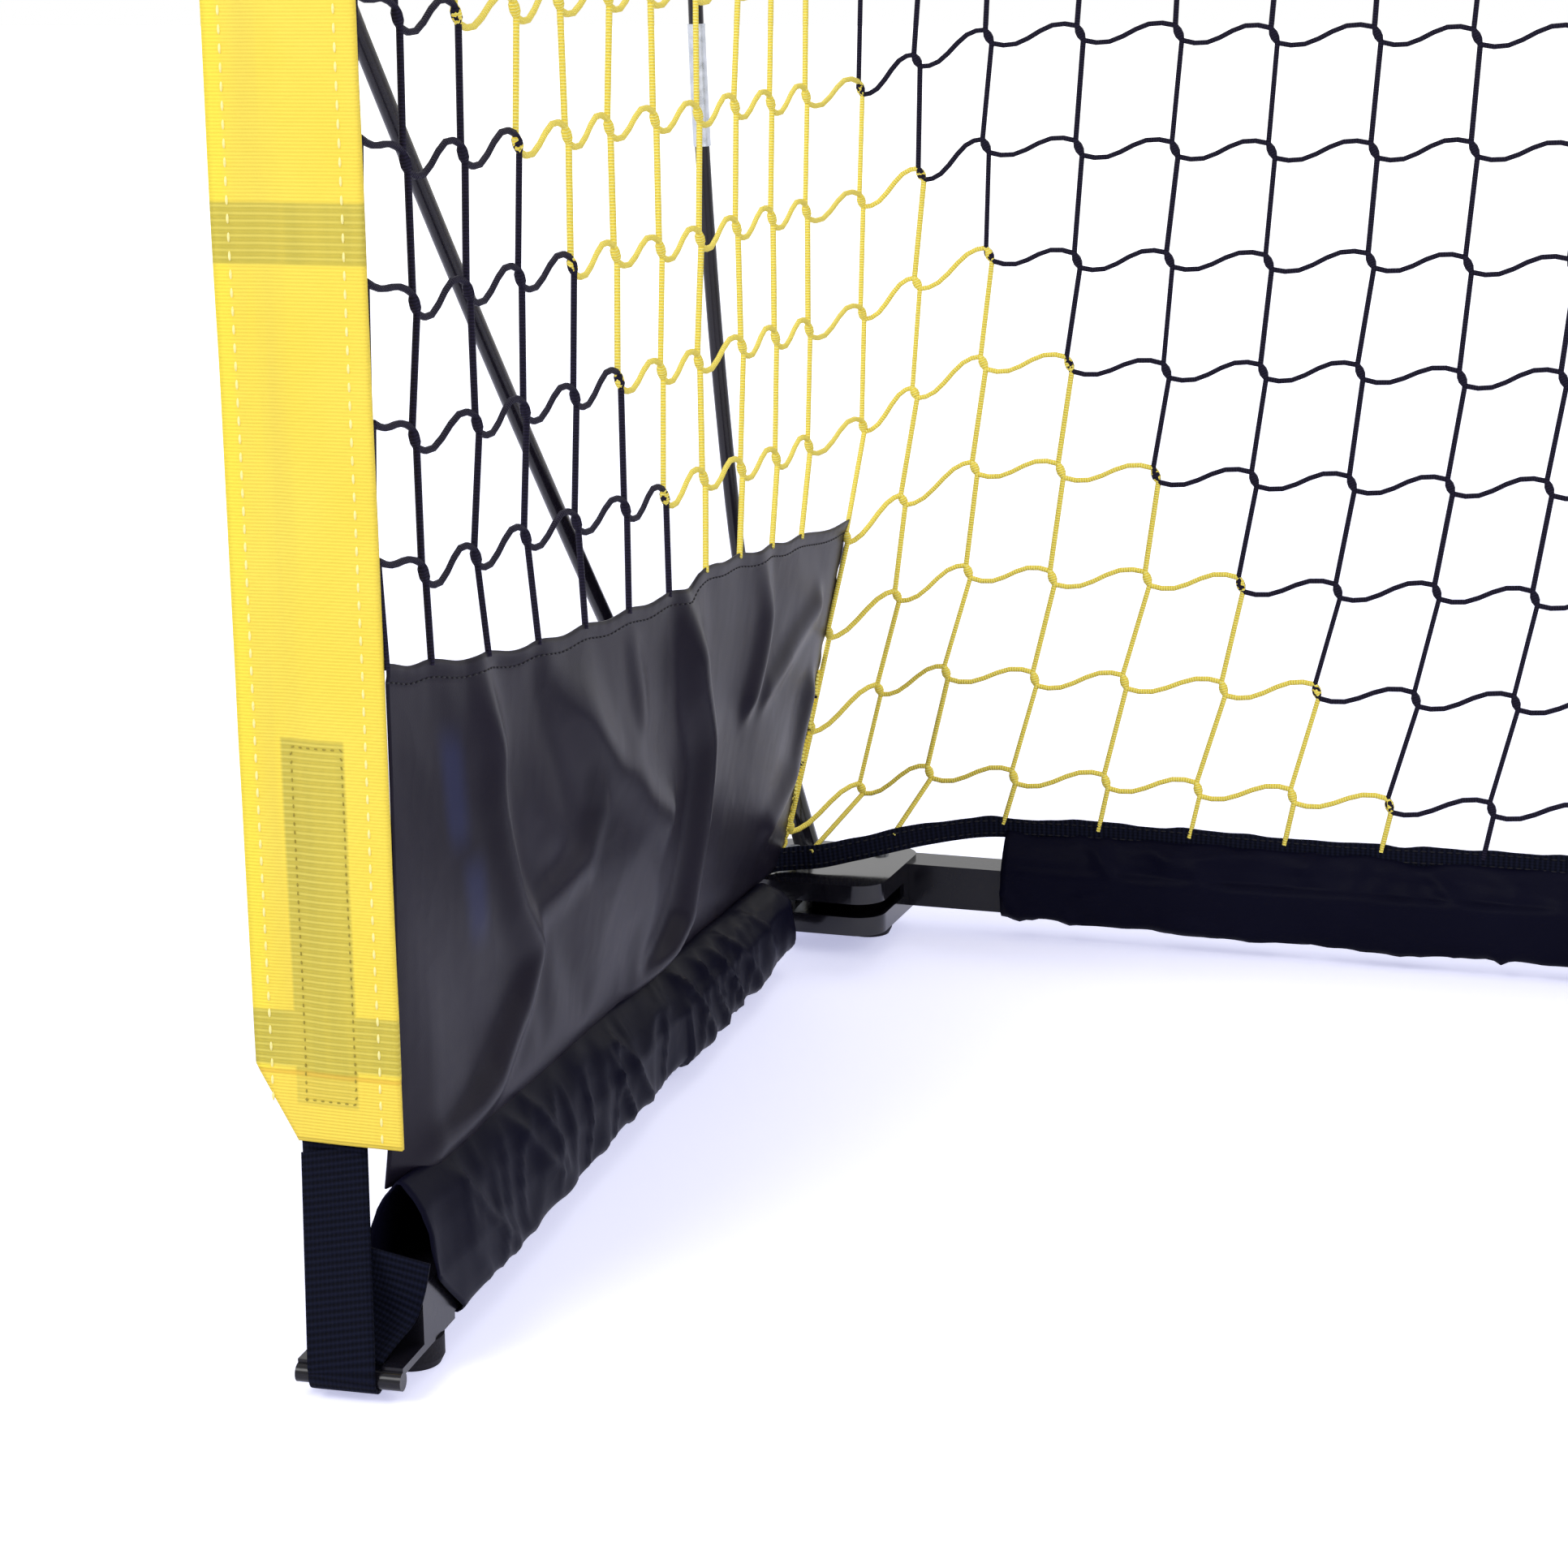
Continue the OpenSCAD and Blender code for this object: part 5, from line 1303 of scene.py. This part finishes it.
STRAP_W, STRAP_T = 25 * MM, 1.5 * MM
BAR_R, BAR_Z = 3.5 * MM, 9 * MM
HOOK_REACH = 24 * MM
STRAP_ALONG_BAR = -(STRAP_W / 2 - 2 * MM)
UP = np.array([0, 0, 1.0])


def strap_route():
    """The strap's middle line in the leg's own directions, as in the solid."""
    loop_r = BAR_R + 0.3 * MM + STRAP_T / 2
    bar = np.array([STRAP_ALONG_BAR, LEG_L + HOOK_REACH, BAR_Z])
    band_mid = np.array([MOUTH_X + BAND_W / 2 - pivot[0], BAND_BACK + STRAP_T / 2 - pivot[1]])
    top = np.array([
        band_mid[0] * math.cos(TOE) + band_mid[1] * math.sin(TOE),
        band_mid[0] * math.sin(TOE) - band_mid[1] * math.cos(TOE), 81 * MM])
    turns = [
        bar + np.array([0, loop_r * math.cos(a), -loop_r * math.sin(a)])
        for a in map(math.radians, range(0, 161, 20))]
    lead = [top + (turns[0] + np.array([0, 0, 4 * MM]) - top) * t for t in np.linspace(0, 1, 9)]
    tail = [
        bar + np.array([0, -loop_r, 3 * MM]),
        bar + np.array([0, -loop_r - 1.5 * MM, TUBE_LOW - BAR_Z + 1 * MM]),
        np.array([bar[0] + 6 * MM, LEG_L + 4.5 * MM, TUBE_LOW + 11 * MM]),
        np.array([bar[0] + 10.5 * MM, LEG_L + 3.4 * MM, TUBE_TOP]),
        np.array([bar[0] + 13 * MM, LEG_L + 2.8 * MM, TUBE_TOP + 12 * MM])]
    return [leg_point(*p) for p in lead + turns + tail]


strap_path = smooth_path(strap_route(), 1.6 * MM)
strap_grid = ribbon_grid(strap_path, leg_side, STRAP_W, 9)
straps = both_sides("strap_webbing", strap_grid, STRAP_T, WEBBING)
print("strap:", float(run(strap_path)[-1]), "long")

# %% [markdown]
# ## Webbing behind the bands
#
# Behind each post band, one strip runs up its middle and two lie across it, where the
# tape's finish shows them.

# %% Webbing behind the bands
ANCHOR_FOOT = 76 * MM
ANCHOR_T = STRAP_T * 0.8
mid_x = MOUTH_X + BAND_W / 2


def anchor_grids():
    """Names and grids of the left band's three strips of webbing."""
    y = BAND_BACK + STRAP_T / 2
    upright = np.linspace([mid_x, y, ANCHOR_FOOT], [mid_x, y, BAND_Z + ANCHOR_TOP], 60)
    grids = {"anchor_webbing_": ribbon_grid(upright, np.array([-1.0, 0, 0]), STRAP_W, 9)}
    for name, (low, high) in zip(("lower", "upper"), BAND_SHEER_STRIPS):
        y_behind, z = y + 1.2 * MM, BAND_Z + (low + high) / 2
        level = np.linspace([MOUTH_X + 1 * MM, y_behind, z], [BAND_INNER - 2 * MM, y_behind, z], 24)
        grids[name + "_cross_webbing_"] = ribbon_grid(level, UP, high - low, 7)
    return grids


anchors = {
    side: [
        shell(name + side, on_side(grid, side), ANCHOR_T, WEBBING)
        for name, grid in anchor_grids().items()]
    for side in SIDES
}
print("webbing behind the bands:", [piece.name for side in SIDES for piece in anchors[side]])

# %% [markdown]
# ## Hem webbing
#
# The back net's foot is sewn into a webbing that turns past the bolt to the skirt's rear
# foot, rolled narrow and waved a little. A wider one is sewn along the top rear edge.

# %% Hem webbing
HEM_H, HEM_T = 10 * MM, 1.4 * MM
HEM_MID_Z = HEM_TOP_Z - HEM_H / 2


def hem_route():
    """From the skirt's rear foot, past the front of the bolt, back to the net's plane."""
    half = [np.array([pivot[0] + x * MM, pivot[1] + y * MM, z * MM]) for x, y, z in HEM_TURNS]
    for x in np.arange(-785, 0, 40):
        half.append(np.array([x * MM, REAR_Y, HEM_MID_Z + 0.8 * MM * math.sin(x / 31)]))
    half.append(np.array([0, REAR_Y, HEM_MID_Z]))
    return half + [p * np.array([-1, 1, 1]) for p in half[-2::-1]]


hem_path = smooth_path(hem_route(), 3 * MM)
hem_x = hem_path[:, 0].copy()
near_corner = hem_widening(hem_x)
hem_path[:, 1] += 0.9 * MM * noise(hem_x / (13 * MM), hem_x * 0, 71) * (0.3 + near_corner)
hem_grid = ribbon_grid(hem_path, UP, HEM_H + HEM_SPREAD * near_corner, 6)
hem_grid[:, -1, 2] += 0.9 * MM * noise(hem_x / (11 * MM), hem_x * 0, 72)
hem_webbing = shell("hem_webbing", hem_grid, HEM_T, WEBBING)
top_low, top_high = corner("top_hem_strap")
_, top_y, top_z = (top_low + top_high) / 2
top_path = np.linspace([top_low[0], top_y, top_z], [top_high[0], top_y, top_z], 180)
top_grid = ribbon_grid(top_path, UP, top_high[2] - top_low[2], 9)
top_webbing = shell("top_hem_webbing", top_grid, HEM_T, WEBBING)
print("hem webbing:", float(run(hem_path)[-1]), "long")

# %% [markdown]
# ## Stitches
#
# Lockstitch thread shows as short beads at an even pitch. A guide polyline runs along
# each seam, with the cloth's outward direction on its points. The tree sets a small bead
# on it at every stitch, turned along the seam and laid flat on the cloth.

# %% Geometry tree of the stitches
STITCH_PITCH = 6.3 * MM
STITCH_LENGTH = 4.4 * MM
THREAD_W = 0.8 * MM


def stitch_tree(thread):
    """Seam lines to beads of this thread."""
    tree, given = start_tree("stitches " + thread.name, {
        "Pitch": ("NodeSocketFloat", STITCH_PITCH), "Stitch Length": ("NodeSocketFloat", STITCH_LENGTH),
        "Thread Width": ("NodeSocketFloat", THREAD_W)})
    curves = add_node(tree, "GeometryNodeMeshToCurve", {0: given.outputs["Geometry"]})
    places = add_node(tree, "GeometryNodeCurveToPoints", {
        "Curve": curves.outputs[0], "Length": given.outputs["Pitch"]}, mode="LENGTH")
    along = add_node(tree, "FunctionNodeAlignRotationToVector", {
        "Vector": places.outputs["Tangent"]}, axis="X")
    flat = add_node(tree, "FunctionNodeAlignRotationToVector", {
        "Rotation": along.outputs[0], "Vector": read_attribute(tree, "out", "FLOAT_VECTOR")},
        axis="Z", pivot_axis="X")
    thin = given.outputs["Thread Width"]
    size = add_node(tree, "ShaderNodeCombineXYZ", {0: given.outputs["Stitch Length"], 1: thin, 2: thin})
    bead = add_node(tree, "GeometryNodeMeshUVSphere", {"Segments": 8, "Rings": 5, "Radius": 0.5})
    turned = add_node(tree, "GeometryNodeTransform", {0: bead.outputs[0], "Rotation": (0, math.pi / 2, 0)})
    sized = add_node(tree, "GeometryNodeTransform", {0: turned.outputs[0], "Scale": size.outputs[0]})
    sewn = add_node(tree, "GeometryNodeInstanceOnPoints", {
        "Points": places.outputs[0], "Instance": sized.outputs[0], "Rotation": flat.outputs[0]})
    return finish_tree(tree, sewn.outputs[0], thread)


YELLOW_STITCHES, OLIVE_STITCHES, BLACK_STITCHES = map(
    stitch_tree, (YELLOW_THREAD, OLIVE_THREAD, BLACK_THREAD))


def sew(name, tree, seams, pitch=STITCH_PITCH, length=STITCH_LENGTH, width=THREAD_W):
    """Stitches along seams, each a list of points and the cloth's outward direction."""
    points, edges, outward = [], [], []
    for path, out in seams:
        path = np.asarray(path)
        outs = np.broadcast_to(np.asarray(out, float), path.shape)
        edges += [(len(points) + i, len(points) + i + 1) for i in range(len(path) - 1)]
        points += path.tolist()
        outward += outs.tolist()
    mesh = bpy.data.meshes.new("seams")
    mesh.from_pydata(points, edges, [])
    set_attribute(mesh, "out", "FLOAT_VECTOR", outward)
    guide = new_object("seams", mesh)
    return plain_result(guide, tree, name, {"Pitch": pitch, "Stitch Length": length, "Thread Width": width})


print("stitch trees:", [tree.name for tree in (YELLOW_STITCHES, OLIVE_STITCHES, BLACK_STITCHES)])

# %% [markdown]
# ## Stitches of the bands
#
# A seam runs down each edge of a post band, and a box of small olive stitches holds the
# webbing behind it. The crossbar band has a seam along each edge too.

# %% Stitches of the bands
OUTER_SEAM, INNER_SEAM = 6.6 * MM, 49.5 * MM
BOX_LEFT, BOX_RIGHT = 4 * MM, 1 * MM
BAND_STITCH, BAND_THREAD = 3.5 * MM, 1.1 * MM
BOX_FOOT, SEAM_END = 16 * MM, 4 * MM
ON_FACE = BAND_T / 2 + THREAD_W * 0.15
FORWARD = (0, -1, 0)


def on_band(x, z):
    """A point on the front face of the left post band."""
    row = np.abs(band_grid[:, 0, 2] - z).argmin()
    y = np.interp(x, band_grid[row, :, 0], band_grid[row, :, 1])
    return np.array([x, y - ON_FACE, z])


def band_line(x, low, high):
    """An upright seam on the left post band."""
    return [on_band(x, z) for z in np.linspace(low, high, max(3, int((high - low) / (4 * MM))))]


def box_of_stitches(x0, x1, z0, z1):
    """A seam round a rectangle on the left post band."""
    corners = [(x0, z0), (x1, z0), (x1, z1), (x0, z1), (x0, z0)]
    path = []
    for (ax, az), (bx, bz) in zip(corners[:-1], corners[1:]):
        for t in np.linspace(0, 1, 14)[:-1]:
            path.append(on_band(ax + (bx - ax) * t, az + (bz - az) * t))
    return path + [on_band(x0, z0)]


def on_front(paths, flip):
    """Seams on a band's front face, mirrored where flip is -1."""
    return [(np.array(path) * [flip, 1, 1], FORWARD) for path in paths]


band_seams = [
    band_line(MOUTH_X + OUTER_SEAM, BAND_Z + BOX_FOOT, TOP_Z - SEAM_END),
    band_line(MOUTH_X + INNER_SEAM, BAND_Z + SEAM_END, TOP_Z - SEAM_END),
]
box_seams = [box_of_stitches(mid_x - ANCHOR_HALF + BOX_LEFT, mid_x + ANCHOR_HALF - BOX_RIGHT,
                             BAND_Z + BOX_FOOT, BAND_Z + ANCHOR_TOP - 3 * MM)]
band_stitches, box_stitches = {}, {}
for side, flip in zip(SIDES, (1, -1)):
    band_stitches[side] = sew("band_stitches_" + side, YELLOW_STITCHES, on_front(band_seams, flip),
                              length=BAND_STITCH, width=BAND_THREAD)
    box_stitches[side] = sew("box_stitches_" + side, OLIVE_STITCHES, on_front(box_seams, flip),
                             pitch=3.2 * MM, length=1.5 * MM, width=0.7 * MM)
bar_seams = []
for z in (bar_low[2] + 8 * MM, bar_high[2] - OUTER_SEAM):
    row = np.abs(bar_grid[:, 0, 2] - z).argmin()
    bar_seams.append((bar_grid[row] * [1, 1, 0] + [0, -ON_FACE, z], FORWARD))
crossbar_stitches = sew("crossbar_stitches", YELLOW_STITCHES, bar_seams)
print("box seam:", float(run(box_seams[0])[-1]), "long")

# %% [markdown]
# ## Black stitches
#
# The skirt's top hem has one seam on its inner face. Each hem webbing has two, which
# show on both faces.

# %% Stitches of the skirts and hems
BLACK_SEAM = {"pitch": 4.2 * MM, "length": 3.0 * MM}
WEBBING_LIFT = HEM_T / 2 + 0.05 * MM


def along_row(grid, row, out, lift):
    """A seam on a cloth grid's face, a little proud of it."""
    normals = grid_normals(grid)[row]
    return grid[row] + normals * lift * out, normals * out


def webbing_seams(grid, columns):
    """Seams on both faces of a webbing, along these columns of its grid."""
    return [along_row(grid.transpose(1, 0, 2), c, out, WEBBING_LIFT) for c in columns for out in (1, -1)]


skirt_stitches = {
    side: sew("skirt_stitches_" + side, BLACK_STITCHES, [
        along_row(on_side(skirt_grid, side), len(skirt_grid) - 1 - HEM_ROWS, 1, SKIRT_T / 2 + 0.15 * MM)],
        **BLACK_SEAM)
    for side in SIDES
}
hem_stitches = sew("hem_stitches", BLACK_STITCHES, webbing_seams(hem_grid, (1, 4)), **BLACK_SEAM)
top_stitches = sew("top_hem_stitches", BLACK_STITCHES, webbing_seams(top_grid, (1, 7)), **BLACK_SEAM)
print("hem stitches:", len(hem_stitches.data.polygons), "and", len(top_stitches.data.polygons), "faces")

# %% [markdown]
# ## Whipping on the skirt's rear edge
#
# The corner cord of the net is laced down the skirt's rear edge. Its turns lie close
# together, so they read as a yellow and black rope with slanted turns.

# %% Whipping
# The shares of the skirt's rear edge between which the cord is laced
WHIPPED = (0.2, 0.58)
ROPE_RADIUS, ROPE_TURN = 1.2 * MM, 1.1


def whipping(side):
    """The corner cord's turns down a skirt's rear edge, and its two ends below them."""
    rear = on_side(skirt_grid, side)
    edge = rear[:, -1] if side == "left" else rear[:, 0]
    edge = smooth_path(edge[::3], 2 * MM)
    guide = CordGuide()
    flip = 1 if side == "left" else -1
    first, last = (int(share * len(edge)) for share in WHIPPED)
    slant = np.array([flip * 1.8, -1.8, 0.8]) * MM
    for i in range(first, last):
        guide.add(edge[i] - slant, edge[i + 1] + slant, 0.0 if i % 9 else 0.5, swell=0.4, steps=4)
    # Below it, both ends of the cord run down to the foot, laid round each other
    for phase in (0, math.pi):
        turns = np.arange(first + 2)
        angle = turns * ROPE_TURN + phase
        circle = ROPE_RADIUS * np.stack([np.cos(angle), np.sin(angle), 0 * turns], axis=1)
        rope = edge[:first + 2] + circle - [0, 1.5 * MM, 0]
        for below, above in zip(rope, rope[1:]):
            guide.add(below, above, 0.0, steps=2)
    return guide.build("corner_whipping_" + side, width=1.9 * MM, sides=6)


whippings = {side: whipping(side) for side in SIDES}
print("whipping:", {side: len(w.data.polygons) for side, w in whippings.items()})

# %% [markdown]
# ## Floor, light and camera
#
# The goal stands in a white studio. Three wide lamps light it softly: one above and
# behind the camera, one on the right and one from behind. The floor is white to the
# camera and to reflections, and it keeps the soft shadow under the tubes, which is a
# little blue. Further out it brightens into the white backdrop, so its far edge can't
# be seen.

# %% Stage
WORLD_LEVEL = 0.5
FLOOR_REACH = 12.0
FLOOR_FADE = (1.6, 6.0)
NEAR_GLOW, FAR_GLOW = (0.42, 0.43, 0.61, 1.0), (1.0, 1.0, 1.0, 1.0)
LAMPS = {
    "key_lamp": ((-2.6, -3.4, 3.4), (-0.6, 0.0, 0.4), 2.4, 112),
    "fill_lamp": ((2.8, -2.2, 2.6), (-0.4, 0.0, 0.4), 2.6, 60),
    "back_lamp": ((-1.0, 3.2, 3.0), (-0.5, 0.2, 0.4), 2.4, 40),
}


def seen_ray(tree):
    """1 for a ray from the camera, a reflection or a glass, and 0 for one that lights."""
    path = add_node(tree, "ShaderNodeLightPath")
    seen = combine(tree, path.outputs["Is Camera Ray"], path.outputs["Is Glossy Ray"], "MAXIMUM")
    return combine(tree, seen, path.outputs["Is Transmission Ray"], "MAXIMUM")


def studio_floor():
    """White to the eye and in reflections, yet no light of its own falls on the goal."""
    mesh = bpy.data.meshes.new("studio_floor")
    mesh.from_pydata([(x * FLOOR_REACH, y * FLOOR_REACH, 0) for x, y in ((-1, -1), (1, -1), (1, 1), (-1, 1))],
                     [], [(0, 1, 2, 3)])
    material, tree, shader = new_material("white_studio_floor", Roughness=0.9, Specular_IOR_Level=0.1)
    shader.inputs["Base Color"].default_value = linear("#f4f4fa")
    place = add_node(tree, "ShaderNodeTexCoord").outputs["Object"]
    away = add_node(tree, "ShaderNodeVectorMath", {0: place}, operation="LENGTH")
    far = add_node(tree, "ShaderNodeMapRange", {
        "Value": away.outputs["Value"], "From Min": FLOOR_FADE[0], "From Max": FLOOR_FADE[1]})
    glow = add_node(tree, "ShaderNodeMix", {
        0: far.outputs[0], 6: NEAR_GLOW, 7: FAR_GLOW}, data_type="RGBA")
    tree.links.new(glow.outputs[2], shader.inputs["Emission Color"])
    tree.links.new(seen_ray(tree), shader.inputs["Emission Strength"])
    mesh.materials.append(material)
    return new_object("studio_floor", mesh)


def studio_world():
    """White where it is seen, and dimmer where it lights."""
    world = bpy.data.worlds.new("white_studio")
    world.use_nodes = True
    tree = world.node_tree
    tree.nodes.clear()
    strength = add_node(tree, "ShaderNodeMapRange", {
        "Value": seen_ray(tree), "To Min": WORLD_LEVEL, "To Max": 1.0})
    light = add_node(tree, "ShaderNodeBackground", {
        "Color": linear("#ffffff"), "Strength": strength.outputs[0]})
    add_node(tree, "ShaderNodeOutputWorld", {0: light.outputs[0]})
    bpy.context.scene.world = world


def soft_lamp(name, place, target, size, power):
    """A round lamp that looks at a target."""
    lamp = bpy.data.lights.new(name, "AREA")
    lamp.shape, lamp.size, lamp.energy = "DISK", size, power
    holder = new_object(name, lamp)
    holder.location = place
    holder.rotation_euler = (Vector(target) - Vector(place)).to_track_quat("-Z", "Y").to_euler()


floor = studio_floor()
studio_world()
for lamp_name, (place, target, size, power) in LAMPS.items():
    soft_lamp(lamp_name, place, target, size, power)
print("stage: floor", 2 * FLOOR_REACH, "wide,", len(LAMPS), "lamps")

# %% [markdown]
# ## Camera
#
# The camera stands low in front of the goal, turned to its left corner.

# %% Camera
CAMERA_AT = Vector((-339.0, -1365.0, 521.5)) * MM
YAW, PITCH, ROLL = 0.3315, 0.2494, -0.0140
FOCAL, SENSOR = 80.7, 36.0


def place_camera():
    """The scene's camera, turned and without shift."""
    camera = bpy.data.cameras.new("view")
    camera.lens, camera.sensor_width, camera.clip_start = FOCAL, SENSOR, 0.05
    holder = new_object("view", camera)
    level = Matrix.Rotation(YAW, 4, "Z") @ Matrix.Rotation(math.pi / 2 - PITCH, 4, "X")
    holder.matrix_world = Matrix.Translation(CAMERA_AT) @ (level @ Matrix.Rotation(ROLL, 4, "Z"))
    bpy.context.scene.camera = holder


place_camera()
bpy.context.scene.view_settings.view_transform = "Standard"
print("camera at", tuple(CAMERA_AT), "with a lens of", FOCAL)

# %% [markdown]
# ## What moves with what
#
# The legs fold inwards about the corner bolts. Sleeves and straps go with the legs. The
# post bands, side nets and skirts are sewn to the legs below and to the standing frame
# above; here their shapes are baked in place, attached to no body.

# %% Bodies and replaced solids
for side, sign in zip(SIDES, (1, -1)):
    leg_body = side + "_leg"
    for piece in (straps[side], leg_sleeves[side]):
        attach(piece, leg_body)
    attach(rear_sleeves[side], "base")
    bending = [
        bands[side], nets["side_net_" + side], skirts[side], band_stitches[side], box_stitches[side],
        skirt_stitches[side], whippings[side], *anchors[side]]
    for piece in bending:
        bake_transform(piece)
    for piece, slot, node in (
        (bands[side], "band_fabric", "post_band_"), (straps[side], "webbing", "strap_"),
        (skirts[side], "lining_cloth", "skirt_"), (leg_sleeves[side], "lining_cloth", "leg_sleeve_"),
        (rear_sleeves[side], "lining_cloth", "rear_sleeve_"),
        (nets["side_net_" + side], "net_cord", "side_net_"), (anchors[side][0], "webbing", "post_webbing_"),
    ):
        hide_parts(node + side)
    print(side + ":", len(bending), "pieces bend from", leg_body, "to base")
for piece, slot, node in (
    (crossbar, "band_fabric", "crossbar_band"), (crossbar_stitches, "band_fabric", None),
    (nets["back_net"], "net_cord", "back_net"), (nets["top_net"], "net_cord", "top_net"),
    (hem_webbing, "webbing", "hem_strap"), (top_webbing, "webbing", "top_hem_strap"),
    (hem_stitches, "webbing", None), (top_stitches, "webbing", None),
):
    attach(piece, "base")
    if node:
        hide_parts(node)
